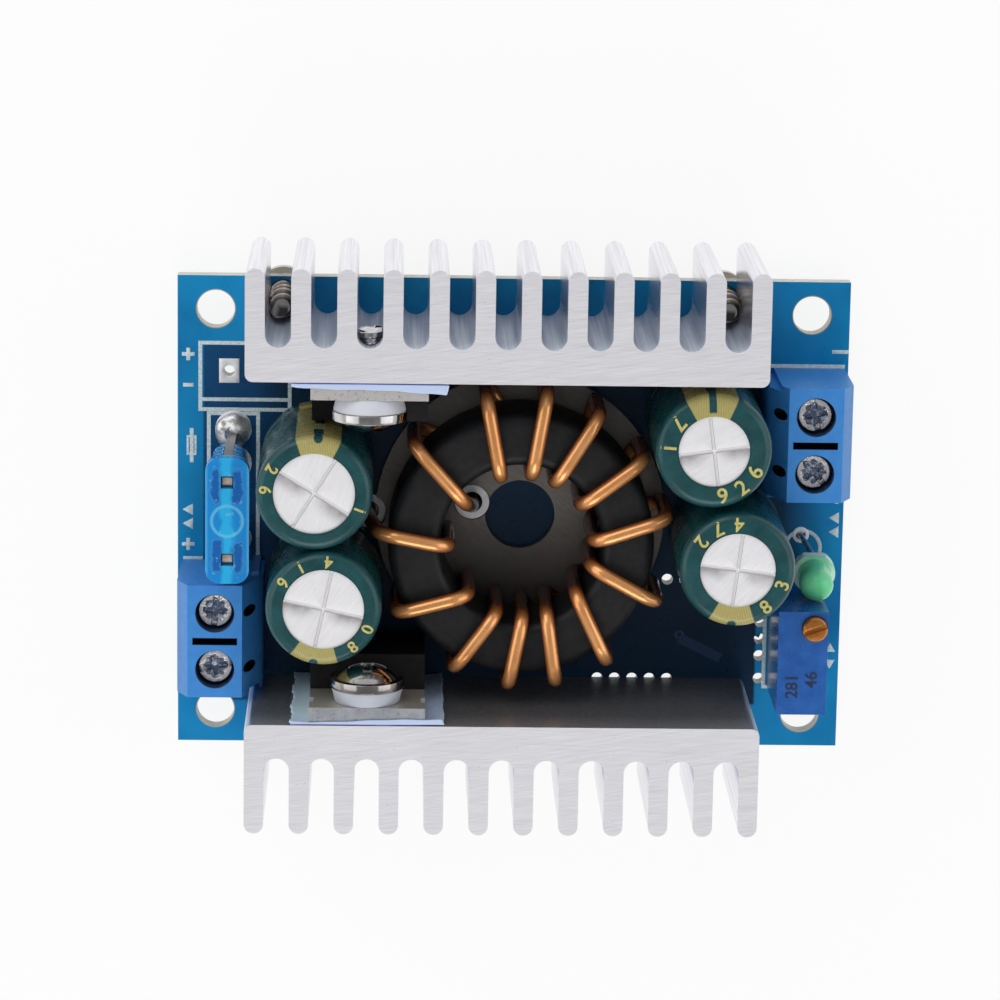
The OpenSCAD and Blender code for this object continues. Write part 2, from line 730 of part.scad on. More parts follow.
module choke_winding() {
    rings = len(wire_path);
    points = [for (j = [0:rings - 1]) each wire_ring(j)];
    sides = [for (j = [0:rings - 2], k = [0:wire_sides - 1]) let(
        a = j * wire_sides + k,
        b = j * wire_sides + (k + 1) % wire_sides
    ) each [[a, a + wire_sides, b], [b, a + wire_sides, b + wire_sides]]];
    first_end = [for (k = [0:wire_sides - 1]) k];
    last_end = [for (k = [wire_sides - 1:-1:0]) (rings - 1) * wire_sides + k];
    color("peru") polyhedron(points, concat(sides, [first_end, last_end]));
}

// Capacitors

// Half section of a can of the given radius, standing on Y = low
module can_section(r, low, top) {
    difference() {
        union() {
            translate([0, low]) square([r, top - low - can_edge_r]);
            translate([0, low]) square([r - can_edge_r, top - low]);
            translate([r - can_edge_r, top - can_edge_r]) circle(r = can_edge_r);
        }
        translate([r + crimp_r - crimp_depth, crimp_z]) circle(r = crimp_r);
    }
}

module at_cap(c) {
    translate([cap_x(c), cap_y(c), board_t]) rotate(cap_turn(c)) children();
}

module can_solid() {
    rotate_extrude() can_section(can_d / 2, can_low, can_top);
}

module capacitor_can(c) {
    color("gainsboro") at_cap(c) difference() {
        can_solid();
        translate([0, 0, -cut]) cylinder(d = seal_d, h = can_low + seal_h + cut);
        for (a = [0, 90]) rotate(a)
            block([cap_open_d(c) - 2 * vent_inset, vent_w, vent_depth + cut], [0, 0, can_top - vent_depth]);
    }
}

module capacitor_sleeve(c) {
    color([0.15, 0.35, 0.37]) at_cap(c) difference() {
        rotate_extrude() can_section(cap_d / 2, 0, cap_h);
        can_solid();
        translate([0, 0, can_top - cut]) cylinder(d = cap_open_d(c), h = sleeve_t + 2 * cut);
        translate([0, 0, -cut]) cylinder(d = seal_d + 2 * sleeve_hem, h = can_low + 2 * cut);
    }
}

module cap_lead_pair(top) {
    for (s = [-1, 1]) translate([s * cap_pitch / 2, 0, -board_t - lead_out])
        cylinder(d = cap_lead_d, h = board_t + lead_out + top, $fn = 24);
}

module capacitor_seal(c) {
    color([0.2, 0.2, 0.2]) at_cap(c) difference() {
        translate([0, 0, can_low]) cylinder(d = seal_d, h = seal_h);
        cap_lead_pair(can_low + seal_h + cut);
    }
}

module capacitor_leads(c) {
    color("silver") at_cap(c) cap_lead_pair(can_low + seal_h);
}

// Terminals

module at_terminal(output) {
    translate([output ? term_x : -term_x, output ? output_term_y : input_term_y, board_t])
        rotate(output ? 0 : 180) children();
}

// Contact bar with its pin, moulded into the back wall
module pole_pin() {
    bar_end = cage_x + cage_l / 2;
    block([bar_end - pin_x + pin_t / 2, bar_w, bar_t], [(bar_end + pin_x - pin_t / 2) / 2, 0, bar_z]);
    block([pin_t, pin_w, bar_z + bar_t + board_t + lead_out], [pin_x, 0, -board_t - lead_out]);
}

module terminal_housing(output) {
    color([0.2, 0.48, 0.78]) at_terminal(output) difference() {
        union() {
            translate([0, term_len / 2, 0]) rotate([90, 0, 0]) linear_extrude(term_len) polygon([
                [-term_back, 0], [-term_back, back_bevel_z], [-term_top, term_h],
                [term_top, term_h], [term_out, front_bevel_z], [term_out, 0]
            ]);
            // rail that hooks into the next housing of a row
            block([rail_w, rail_depth, back_bevel_z], [rail_x, -term_len / 2 - rail_depth / 2, 0]);
        }
        block([rail_w + 2 * rail_gap, 2 * (rail_depth + rail_gap), term_h], [rail_x, term_len / 2, -cut]);
        for (y = poles) translate([0, y, 0]) {
            // room for the clamp, open below
            block([cage_l + 2 * cage_gap, cage_w + 2 * cage_gap, seat_z - seat_t + cut], [cage_x, 0, -cut]);
            translate([0, 0, seat_z - seat_t - cut])
                cylinder(d = pole_screw_d + 2 * turn_gap, h = seat_t + 2 * cut);
            translate([0, 0, seat_z]) cylinder(d = well_d, h = term_h - seat_z + cut);
            block([term_out + cut, entry_w, entry_h], [(term_out + cut) / 2, 0, entry_z]);
            translate([test_hole_inset - term_back, 0, back_bevel_z]) cylinder(d = test_hole_d, h = term_h, $fn = 24);
            pole_pin();
        }
        block([divider_l, divider_w, term_h], [0, 0, seat_z - seat_t]);
    }
}

module terminal_pins(output) {
    color("gainsboro") at_terminal(output) for (y = poles) translate([0, y, 0]) pole_pin();
}

module terminal_screw(output, k) {
    turn = pole_slot_turns[output ? 1 : 0][k];
    slot_depth = 0.45;
    recess_depth = 0.6;
    color("lightgray") at_terminal(output) translate([0, poles[k], seat_z]) rotate(turn) difference() {
        union() {
            cylinder(d = pole_head_d, h = pole_head_h);
            translate([0, 0, bar_z + bar_t + turn_gap - seat_z])
                cylinder(d = pole_screw_d, h = seat_z - bar_z - bar_t);
        }
        translate([0, 0, pole_head_h]) cross_recess(0.75 * pole_head_d, pole_slot_w, recess_depth);
        block([pole_head_d + 2 * cut, pole_slot_w, pole_head_h], [0, 0, pole_head_h - slot_depth]);
    }
}

module clamp_cage(output, k) {
    color("silver") at_terminal(output) translate([0, poles[k], 0]) difference() {
        block([cage_l, cage_w, cage_h], [cage_x, 0, cage_low]);
        block([cage_l + 2 * cut, cage_w - 2 * cage_wall, cage_h - cage_wall - cage_roof],
            [cage_x, 0, cage_low + cage_wall]);
        translate([0, 0, cage_top - cage_roof - cut])
            cylinder(d = pole_screw_d + 2 * turn_gap, h = cage_roof + 2 * cut);
    }
}

// Trimmer

module trimmer_body() {
    foot = 1.2;
    color([0.2, 0.4, 0.72]) difference() {
        block([trimmer_w, trimmer_len, trimmer_h], [trimmer_x, trimmer_y, board_t]);
        block([trimmer_w + 2 * cut, trimmer_len - 2 * foot, trimmer_foot + cut],
            [trimmer_x, trimmer_y, board_t - cut]);
        translate([trimmer_screw_at[0], trimmer_screw_at[1], board_t + trimmer_h - trimmer_screw_in])
            cylinder(d = trimmer_screw_d + 2 * turn_gap, h = trimmer_screw_in + cut);
        for (p = trimmer_leads) translate([p[0], p[1], 0])
            cylinder(d = trimmer_pin_d, h = board_t + trimmer_foot + trimmer_pin_in, $fn = 24);
    }
}

module trimmer_screw() {
    chamfer = 0.15;
    groove_turn = 20;
    groove_w = 0.45;
    groove_depth = 0.5;
    color("goldenrod") translate([trimmer_screw_at[0], trimmer_screw_at[1], board_t + trimmer_h]) difference() {
        union() {
            translate([0, 0, turn_gap - trimmer_screw_in])
                cylinder(d = trimmer_screw_d, h = trimmer_screw_in + trimmer_screw_up - turn_gap - chamfer);
            translate([0, 0, trimmer_screw_up - chamfer])
                cylinder(d1 = trimmer_screw_d, d2 = trimmer_screw_d - 2 * chamfer, h = chamfer);
        }
        rotate(groove_turn)
            block([trimmer_screw_d + 2 * cut, groove_w, groove_depth + cut], [0, 0, trimmer_screw_up - groove_depth]);
    }
}

module trimmer_pins() {
    color("silver") for (p = trimmer_leads) translate([p[0], p[1], -lead_out])
        cylinder(d = trimmer_pin_d, h = lead_out + board_t + trimmer_foot + trimmer_pin_in, $fn = 24);
}

// LED

module at_led() {
    translate([led_x, led_y, board_t + led_lift]) rotate([led_lean, 0, 0]) children();
}

// Leads from inside the lens to the board and through it
module led_lead_rods() {
    bury = 0.6;
    knee_lift = 0.2;
    for (k = [0, 1]) let(
        s = (k == 0 ? 1 : -1) * led_pitch / 2,
        top = [led_x, led_y + s * cos(led_lean), board_t + led_lift + s * sin(led_lean)],
        up = [0, -sin(led_lean), cos(led_lean)],
        hole = led_holes[k],
        knee = [hole[0], hole[1], board_t + knee_lift]
    ) {
        rod(top, top + bury * up, led_lead_d);
        translate(top) sphere(d = led_bend_d);
        rod(top, knee, led_lead_d);
        translate(knee) sphere(d = led_bend_d);
        rod([hole[0], hole[1], -lead_out], knee, led_lead_d);
    }
}

module led_lens() {
    color([0.3, 0.67, 0.43]) difference() {
        at_led() {
            difference() {
                cylinder(d = led_flange_d, h = led_flange_t);
                block([led_flange_d, led_flange_d, led_flange_t + 2 * cut], [0, led_flange_d - led_flat, -cut]);
            }
            cylinder(d = led_d, h = led_body_h);
            translate([0, 0, led_body_h]) sphere(d = led_d);
        }
        led_lead_rods();
    }
}

module led_leads() {
    color("silver") led_lead_rods();
}

// Fuse

// Two blades joined by a thin arched link
module fuse_element_solid() {
    for (y = blade_ys)
        block([blade_t, blade_w, board_t + blade_top + lead_out], [fuse_x, y, -lead_out]);
    link_z = board_t + blade_top - link_w;
    half = blade_pitch / 2 - blade_w / 2;
    arm_y = (half + link_r - link_w / 2) / 2;
    for (s = [-1, 1])
        block([link_t, half - link_r + link_w / 2, link_w], [fuse_x, fuse_y + s * arm_y, link_z]);
    translate([fuse_x - link_t / 2, fuse_y, link_z]) rotate([90, 0, 90]) linear_extrude(link_t) intersection() {
        difference() {
            circle(r = link_r);
            circle(r = link_r - link_w);
        }
        translate([-link_r, -2 * link_r]) square([2 * link_r, 2 * link_r]);
    }
}

module fuse_element() {
    color("burlywood") fuse_element_solid();
}

module fuse_housing() {
    low = board_t + fuse_top - fuse_body_h;
    room_t = blade_t + 2 * blade_fit;
    color([0.1, 0.5, 0.8, 0.6]) difference() {
        union() {
            translate([fuse_x, fuse_y, board_t + fuse_top - fuse_head_h]) linear_extrude(fuse_head_h)
                round_rect(fuse_t, fuse_len, fuse_corner_r);
            translate([fuse_x, fuse_y, low]) linear_extrude(fuse_body_h - fuse_head_h)
                round_rect(fuse_t - 2 * fuse_step, fuse_len - 2 * fuse_end_step, fuse_corner_r);
        }
        for (y = blade_ys) {
            block([room_t, blade_w + 2 * blade_fit, fuse_body_h + blade_top - fuse_top + blade_fit + cut],
                [fuse_x, y, low - cut]);
            // opening over the blade for a test probe
            block([probe_w, probe_w, fuse_top], [fuse_x, y - sign(y - fuse_y) * probe_shift, board_t + blade_top]);
        }
        // hollow round the link, open below
        block([room_t, blade_pitch - blade_w + cut, fuse_body_h - fuse_top + blade_top + blade_fit + cut],
            [fuse_x, fuse_y, low - cut]);
        // grooves across both ends below the head
        for (s = [-1, 1], z = [0.3, 0.57, 0.84])
            block([fuse_t, 2 * fuse_groove, fuse_groove],
                [fuse_x, fuse_y + s * (fuse_len / 2 - fuse_end_step), low + z * (fuse_body_h - fuse_head_h)]);
    }
}

// Solder on the underside, and on top where the lead shows

module joint(p, lead, h) {
    mirror([0, 0, 1]) translate([p[0], p[1], 0])
        cylinder(d1 = lead + 2 * solder_spread, d2 = lead + 2 * solder_tip, h = h);
}

module round_joints(places, d) {
    for (p = places) difference() {
        joint(p, d, solder_h);
        translate([p[0], p[1], -2 * solder_h]) cylinder(d = d, h = 3 * solder_h, $fn = 24);
    }
}

module flat_joints(places, size) {
    for (p = places) difference() {
        joint(p, norm(size), solder_h);
        block([size[0], size[1], 3 * solder_h], [p[0], p[1], -2 * solder_h]);
    }
}

module solder_joints() {
    blade_cuff = 0.9;
    cuff_spread = 0.15;
    color("lightgray") {
        round_joints(cap_leads, cap_lead_d);
        round_joints(trimmer_leads, trimmer_pin_d);
        round_joints(led_holes, led_lead_d);
        flat_joints(leg_holes, [leg_w, leg_t]);
        flat_joints(term_pin_at, [pin_t, pin_w]);
        round_joints(wire_holes, wire_d);
        for (p = blade_holes) difference() {
            union() {
                joint(p, blade_w, solder_h);
                translate([p[0], p[1] + blade_w / 2, board_t])
                    cylinder(d1 = blade_w + 2 * cuff_spread, d2 = 0.5 * blade_w, h = blade_cuff);
            }
            block([blade_t, blade_w, 4 * solder_h + board_t], [p[0], p[1], -2 * solder_h]);
        }
    }
}

// Underside

module control_chip_body() {
    face_z = -chip_size[2] - chip_stand;
    mark_inset = 0.8;
    mark_d = 0.7;
    mark_depth = 0.1;
    color([0.12, 0.12, 0.13]) difference() {
        block(chip_size, [chip_at[0], chip_at[1], face_z]);
        translate([
            chip_at[0] - chip_size[0] / 2 + mark_inset, chip_at[1] - chip_size[1] / 2 + mark_inset, face_z - cut
        ]) cylinder(d = mark_d, h = cut + mark_depth);
        chip_legs();
    }
}

// Gull-wing legs: foot on the board, riser and a shoulder into the body
module chip_legs() {
    w = 0.42;
    t = 0.2;
    foot = 0.6;
    rise = 0.75;
    bury = 0.4;
    span = 6;
    riser_y = span / 2 - foot;
    inner_y = chip_size[1] / 2 - bury;
    for (k = [-1.5:1.5], s = [-1, 1]) translate([chip_at[0] + k * chip_leg_pitch, chip_at[1], 0]) {
        block([w, foot, t], [0, s * (riser_y + foot / 2), -t]);
        block([w, t, rise], [0, s * riser_y, -rise]);
        block([w, riser_y - inner_y, t], [0, s * (riser_y + inner_y) / 2, -rise]);
    }
}

module control_chip_legs() {
    color("silver") chip_legs();
}

module chip_parts() {
    color([0.2, 0.18, 0.16]) for (p = part_spots)
        block([part_size[0] - 2 * part_end, part_size[1], part_size[2]], [p[0], p[1], -part_size[2]]);
}

module chip_part_ends() {
    color("silver") for (p = part_spots, s = [-1, 1])
        block([part_end, part_size[1], part_size[2]],
            [p[0] + s * (part_size[0] - part_end) / 2, p[1], -part_size[2]]);
}

circuit_board();
rear_heatsink();
front_heatsink();
heatsink_screws();
transistor_tab();  // rear_transistor_tab
transistor_body();  // rear_transistor_body
insulating_pad();  // rear_insulating_pad
insulating_bush();  // rear_insulating_bush
transistor_screw();  // rear_transistor_screw
front() transistor_tab();  // front_transistor_tab
front() transistor_body();  // front_transistor_body
front() insulating_pad();  // front_insulating_pad
front() insulating_bush();  // front_insulating_bush
front() transistor_screw();  // front_transistor_screw
choke_core();
choke_winding();
choke_base();
for (c = caps) {
    capacitor_can(c);
    capacitor_sleeve(c);
    capacitor_seal(c);
    capacitor_leads(c);
}
for (end = ["input", "output"]) let(output = end == "output") {
    terminal_housing(output);
    terminal_pins(output);
    for (k = [0, 1]) {
        terminal_screw(output, k);
        clamp_cage(output, k);
    }
}
trimmer_body();
trimmer_screw();
trimmer_pins();
led_lens();
led_leads();
fuse_housing();
fuse_element();
solder_joints();
control_chip_body();
control_chip_legs();
chip_parts();
chip_part_ends();
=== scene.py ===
import math
import random

import bpy
from mathutils import Matrix, Vector


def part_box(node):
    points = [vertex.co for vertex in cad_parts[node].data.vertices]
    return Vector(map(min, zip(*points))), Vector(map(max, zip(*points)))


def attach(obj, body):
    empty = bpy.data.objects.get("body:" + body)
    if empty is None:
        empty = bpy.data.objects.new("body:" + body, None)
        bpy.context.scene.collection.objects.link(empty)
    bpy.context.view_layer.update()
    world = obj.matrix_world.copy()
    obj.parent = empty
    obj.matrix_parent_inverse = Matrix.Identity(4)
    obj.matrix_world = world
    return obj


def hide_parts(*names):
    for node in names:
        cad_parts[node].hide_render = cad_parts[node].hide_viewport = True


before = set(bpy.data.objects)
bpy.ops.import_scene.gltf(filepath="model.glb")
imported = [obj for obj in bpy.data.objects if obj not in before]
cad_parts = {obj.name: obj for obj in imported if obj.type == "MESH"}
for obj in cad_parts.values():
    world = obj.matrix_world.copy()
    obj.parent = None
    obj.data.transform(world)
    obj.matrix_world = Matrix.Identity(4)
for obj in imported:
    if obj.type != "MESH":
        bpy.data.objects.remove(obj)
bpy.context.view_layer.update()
bpy.context.scene.view_settings.view_transform = "Standard"

# Circuit board
# A sheet of glass-fibre laminate with blue mask over copper on both faces, drilled and cut to size.
# The cut edges show the pale laminate, and the mounting holes have a bare tan rim.
MM = 0.001
BOARD_TOP = 1.6
BODY = "module"


def srgb(r, g, b):
    """A colour read as eight-bit display values, as the linear numbers that a shader takes."""
    return tuple((c / 255 / 12.92) if c <= 10 else ((c / 255 + 0.055) / 1.055) ** 2.4 for c in (r, g, b))


def shader():
    return host.node_tree.nodes["Principled BSDF"]


def finish(name, colour, roughness, metallic=0.0, coat=0.0, specular=0.5):
    """Starts a material. The helpers that make nodes work on the one that was started last, the host."""
    global host
    host = bpy.data.materials.new(name)
    host.use_nodes = True
    values = {"Base Color": (*srgb(*colour), 1), "Roughness": roughness, "Metallic": metallic,
              "Coat Weight": coat, "Coat Roughness": 0.12, "Specular IOR Level": specular}
    for socket, value in values.items():
        shader().inputs[socket].default_value = value
    return host


def add(kind, inputs, **settings):
    """A new node. A socket among its inputs is linked, and any other value is set."""
    node = host.node_tree.nodes.new("ShaderNode" + kind)
    for key, value in settings.items():
        setattr(node, key, value)
    for key, value in inputs.items():
        if isinstance(value, bpy.types.NodeSocket):
            host.node_tree.links.new(value, node.inputs[key])
        else:
            node.inputs[key].default_value = value
    return node


def where(centre=(0, 0, 0), stretch=(1, 1, 1), turn=0):
    """Object coordinates in millimetres, from a centre, with the pattern stretched and turned about Z."""
    coord = add("TexCoord", {}).outputs["Object"]
    origin = tuple(c * MM for c in centre)
    moved = add("VectorMath", {0: coord, 1: origin}, operation="SUBTRACT").outputs[0]
    turned = add("Mapping", {"Vector": moved, "Rotation": (0, 0, math.radians(turn))}).outputs[0]
    scale = tuple(s / MM for s in stretch)
    return add("VectorMath", {0: turned, 1: scale}, operation="MULTIPLY").outputs[0]


def grain(scale, detail=3, rough=0.5, **place):
    """Noise with about `scale` grains to the millimetre."""
    inputs = {"Vector": where(**place), "Scale": scale, "Detail": detail, "Roughness": rough}
    return add("TexNoise", inputs).outputs["Fac"]


def span(value, low, high, to_low=0.0, to_high=1.0):
    inputs = {"Value": value, "From Min": low, "From Max": high, "To Min": to_low, "To Max": to_high}
    return add("MapRange", inputs).outputs[0]


def maths(operation, a, b=0.0, c=0.0):
    return add("Math", {0: a, 1: b, 2: c}, operation=operation).outputs[0]


def mix(share, a, b):
    """One colour going over to another. A colour is a socket or three display values."""
    inputs = {0: share, 6: a, 7: b}
    for key in (6, 7):
        if isinstance(inputs[key], tuple):
            inputs[key] = (*srgb(*inputs[key]), 1)
    return add("Mix", inputs, data_type="RGBA").outputs[2]


def xyz(**place):
    """The three coordinates of `where`."""
    return add("SeparateXYZ", {0: where(**place)}).outputs


def length(vector):
    return add("VectorMath", {0: vector}, operation="LENGTH").outputs["Value"]


def times(product, *others):
    for other in others:
        product = maths("MULTIPLY", product, other)
    return product


def from_corners(corner, **place):
    """Distance in plan from the nearest of four spots that mirror each other."""
    mirrored = add("VectorMath", {0: where(**place)}, operation="ABSOLUTE").outputs[0]
    gap = add("VectorMath", {0: mirrored, 1: (*corner, 0)}, operation="SUBTRACT").outputs[0]
    return length(add("VectorMath", {0: gap, 1: (1, 1, 0)}, operation="MULTIPLY").outputs[0])


def mottle(patches, dark, light, low=0.3, high=0.7):
    """Two tones in soft patches, which are given as the scale, detail and roughness of a grain."""
    return mix(span(grain(*patches), low, high), dark, light)


def paint(socket, value):
    host.node_tree.links.new(value, shader().inputs[socket])


def tint(colour):
    paint("Base Color", colour)


def gloss(patches, low, high):
    """Roughness that wanders between two values."""
    paint("Roughness", span(grain(*patches), 0.3, 0.7, low, high))


def dent(height, depth, strength=1.0):
    """Bump of a depth in millimetres."""
    node = add("Bump", {"Strength": strength, "Distance": depth * MM, "Height": height})
    paint("Normal", node.outputs[0])


def facing_up():
    """1 on faces that look up, -1 on those that look down."""
    return add("SeparateXYZ", {0: add("NewGeometry", {}).outputs["Normal"]}).outputs[2]


def upright():
    """1 on faces that look up or down, 0 on walls."""
    return span(maths("ABSOLUTE", facing_up()), 0.4, 0.6)


def dress(node, mat):
    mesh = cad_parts[node].data
    mesh.materials.clear()
    mesh.materials.append(mat)


MASK_BLUE = (7, 126, 181)
MASK_DEEP = (4, 115, 170)
MASK_LIGHT = (14, 138, 193)
MASK_BARE = (10, 68, 112)
# The darkest blue is painted shade for the middle, among the tall parts.
MASK_PAINTED_SHADE = (11, 44, 70)
# The area where the mask has no copper under it, and where painted shade darkens it further.
BARE_AND_SHADE_X = (-27.7, 22.4)
BARE_AND_SHADE_Y = (-17.6, 15.2)
MASK_BLUR = 0.1
LAMINATE = (222, 220, 206)
RIM_TAN = (176, 158, 118)
MOUNT_AT = (26.6, 18.425)

mask = finish("blue_solder_mask", MASK_BLUE, 0.3, specular=0.22)
tone = mottle((0.12, 2), MASK_DEEP, MASK_LIGHT, 0.35, 0.65)
WEAVE = {"Scale": 0.55, "Distortion": 0.6}
weave, weft = [add("TexWave", {"Vector": where(), **WEAVE}, bands_direction=way).outputs["Fac"]
               for way in "XY"]
cloth = times(weave, weft)
spot = xyz()
bare = span(spot[2], 0.7, 0.9)
for axis, (low, high) in enumerate((BARE_AND_SHADE_X, BARE_AND_SHADE_Y)):
    bare = times(bare, span(spot[axis], low - MASK_BLUR, low + MASK_BLUR),
                 span(spot[axis], high - MASK_BLUR, high + MASK_BLUR, 1, 0))
# Painted shade: from x = -23.5 to -20 the bare tone goes over to a much darker blue among the tall parts.
plain = mix(span(spot[0], -23.5, -20), MASK_BARE, MASK_PAINTED_SHADE)
# Painted shade: a patch round the right-hand middle capacitor, towards the LED, takes the same dark tone.
beside_painted_shade = times(span(spot[1], -4.6, -4.2), span(spot[1], 3.6, 4.2, 1, 0),
               span(spot[0], 24.5, 28.4, 0.95, 0), span(spot[0], 15, 16), span(spot[2], 0.7, 0.9))
tone = mix(maths("MAXIMUM", bare, beside_painted_shade), tone, plain)
tone = mix(span(from_corners(MOUNT_AT), 1.74, 1.8), RIM_TAN, tone)
layer = add("TexWave", {"Vector": where(), "Scale": 1.1, "Distortion": 1.5}, bands_direction="Z")
fibre = mix(span(layer.outputs["Fac"], 0.2, 0.8, 0.0, 0.55), LAMINATE, (184, 184, 164))
tint(mix(upright(), fibre, tone))
gloss((0.6, 4), 0.24, 0.4)
dent(cloth, 0.006, 0.35)
dress("circuit_board", mask)

# Copper tracks
# Wide and narrow tracks that show through the mask as slightly raised lines in a lighter blue.
# They are etched in the board's copper, a few short ones on top and broad and narrow ones below.
TRACK_RISE = 0.02
PAD_RISE = 0.05
TOP_TRACKS = [
    ([(15.86, -11.62), (18.83, -13.1)], 0.9),
    ([(7.2, -7.3), (11.2, -7.3)], 0.25),
]
VIA = (15.43, -11.13)
UNDER_TRACKS = [
    ([(-25.1, 5.8), (-25.1, 9.6), (-18, 9.6), (-11, 3)], 2.6),
    ([(-25.1, -2.3), (-22, -5.4), (-13, -5.4), (-6, -1)], 3.0),
    ([(-4, 1.2), (4, 7), (12, 7), (20, 8)], 3.0),
    ([(9.5, -3), (14, -3), (19.4, -1.5)], 2.0),
    ([(-1, -9.6), (-6, -9.6), (-12.7, -11)], 0.6),
    ([(12, -9.6), (19, -9.6), (22.7, -11.4)], 0.5),
    ([(6, 4.2), (6, 0.5), (7, -1)], 0.5),
]


def enter(mode):
    bpy.ops.object.mode_set(mode=mode)


def clear_selection():
    if bpy.context.object and bpy.context.object.mode != "OBJECT":
        enter("OBJECT")
    bpy.ops.object.select_all(action="DESELECT")


def pick(piece):
    """Makes a piece the only selected one, and the active one."""
    clear_selection()
    piece.select_set(True)
    bpy.context.view_layer.objects.active = piece


def work(piece, kind, **settings):
    """Applies a modifier to the active piece."""
    step = piece.modifiers.new(kind.lower(), kind)
    for key, value in settings.items():
        setattr(step, key, value)
    bpy.ops.object.modifier_apply(modifier=step.name)


def join(parts, name):
    """Makes one piece of several, with its place in its mesh."""
    clear_selection()
    for part in parts:
        part.select_set(True)
    bpy.context.view_layer.objects.active = parts[0]
    if len(parts) > 1:
        bpy.ops.object.join()
    piece = bpy.context.object
    bpy.ops.object.transform_apply(location=True, rotation=True, scale=True)
    piece.name = name
    piece.data.name = name
    return piece


def fit(piece, mat, slot, *nodes, body=BODY):
    """Gives a finished piece its material and its place in the frame."""
    piece.data.materials.clear()
    piece.data.materials.append(mat)
    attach(piece, body)
    if nodes:
        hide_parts(*nodes)
    return piece


def bar(a, b, width, low, rise):
    """A straight raised line from a to b with square ends."""
    clear_selection()
    run = Vector((b[0] - a[0], b[1] - a[1]))
    middle = ((a[0] + b[0]) / 2 * MM, (a[1] + b[1]) / 2 * MM, (low + rise / 2) * MM)
    size = ((run.length + width) * MM, width * MM, abs(rise) * MM)
    turned = (0, 0, math.atan2(run.y, run.x))
    bpy.ops.mesh.primitive_cube_add(size=1, location=middle, rotation=turned, scale=size)
    return bpy.context.object


def disc(at, radius, low, rise, sides=32):
    clear_selection()
    middle = (at[0] * MM, at[1] * MM, (low + rise / 2) * MM)
    size = {"radius": radius * MM, "depth": abs(rise) * MM}
    bpy.ops.mesh.primitive_cylinder_add(vertices=sides, location=middle, **size)
    return bpy.context.object


def smooth(angle):
    bpy.ops.object.shade_smooth_by_angle(angle=math.radians(angle))


def soften(piece, width, segments=2, angle=35):
    """Rounds the sharp edges of a piece and shades it smooth between them."""
    pick(piece)
    limit = math.radians(angle)
    work(piece, "BEVEL", width=width * MM, segments=segments, limit_method="ANGLE", angle_limit=limit)
    smooth(max(angle, 50))
    work(piece, "WEIGHTED_NORMAL", weight=100, keep_sharp=True)
    return piece


def edit_all():
    """Edit mode with the whole active piece selected."""
    enter("EDIT")
    bpy.ops.mesh.select_all(action="SELECT")


def close(gap=0.0):
    """Joins the active piece's points within a gap in millimetres and turns its faces outwards."""
    edit_all()
    if gap:
        bpy.ops.mesh.remove_doubles(threshold=gap * MM)
    bpy.ops.mesh.normals_make_consistent(inside=False)
    enter("OBJECT")


def ring(at, outer, inner, low, rise, sides=40):
    """A flat washer: a circle extruded inwards and then given its thickness."""
    clear_selection()
    middle = (at[0] * MM, at[1] * MM, low * MM)
    bpy.ops.mesh.primitive_circle_add(vertices=sides, radius=outer * MM, location=middle)
    piece = bpy.context.object
    edit_all()
    bpy.ops.mesh.extrude_region_move()
    share = inner / outer
    bpy.ops.transform.resize(value=(share, share, 1), center_override=middle)
    bpy.ops.mesh.select_all(action="SELECT")
    bpy.ops.mesh.normals_make_consistent(inside=False)
    bpy.ops.mesh.extrude_region_move(TRANSFORM_OT_translate={"value": (0, 0, rise * MM)})
    close()
    return piece


def run_tracks(tracks, low, rise):
    parts = []
    for points, width in tracks:
        for k, (a, b) in enumerate(zip(points, points[1:])):
            parts.append(bar(a, b, width, low, rise * (1 + 0.12 * (k % 2))))
        parts += [disc(p, 0.55 * width, low, rise * 1.3, 16) for p in points[1:-1]]
    return parts


def pits(patches, depth, strength):
    dent(grain(*patches), depth, strength)


def mottled(name, colour, roughness, patches, dark, light, low=0.3, high=0.7, shine=None, grit=None, **kind):
    """A finish in two tones. Its shine and grit are what gloss and pits are given."""
    mat = finish(name, colour, roughness, **kind)
    tint(mottle(patches, dark, light, low, high))
    if shine:
        gloss(*shine)
    if grit:
        pits(*grit)
    return mat


track = mottled("masked_copper", (18, 136, 196), 0.3, (1.5, 3), (12, 122, 184), (24, 146, 206),
                grit=((6, 2), 0.004, 0.3))
under_tracks = join(run_tracks(UNDER_TRACKS, 0, -TRACK_RISE), "board_tracks_under")
fit(soften(under_tracks, 0.01, 1), track, "solder_mask")
top_tracks = run_tracks(TOP_TRACKS, BOARD_TOP, TRACK_RISE) + [ring(VIA, 0.45, 0.2, BOARD_TOP, PAD_RISE, 24)]
# Painted shade: the tracks on top lie in the dark middle, so they get a dark copy of the track finish.
track_in_painted_shade = mottled("masked_copper_painted_shade", (12, 52, 88), 0.3, (1.5, 3), (10, 44, 78), (16, 62, 104), 0, 1,
                    grit=((6, 2), 0.004, 0.3))
fit(soften(join(top_tracks, "board_tracks_top"), 0.01, 1), track_in_painted_shade, "solder_mask")

# Pads on the board
# A square pad for the fan's first pin and a ring for its second, the tinned lands of the fuse and the LED,
# and a ring for each end of the winding. One of those two is a raised eyelet, and the rest lie flat.
FAN_HOLES = [(-25.4, 12.825), (-22.86, 12.825)]
FUSE_LANDS = [(-25.0, 7.55), (-25.0, 4.4), (-25.0, -2.5)]
LED_HOLES = [(26.2, -1.7), (26.5, -4.24)]
WIRE_STANDS = ((4.45, math.radians(166)), (13.6, math.pi))
WIRE_HOLES = [(0.75 + r * math.cos(a), 0.15 + r * math.sin(a)) for r, a in WIRE_STANDS]
EYELET_RISE = 0.84

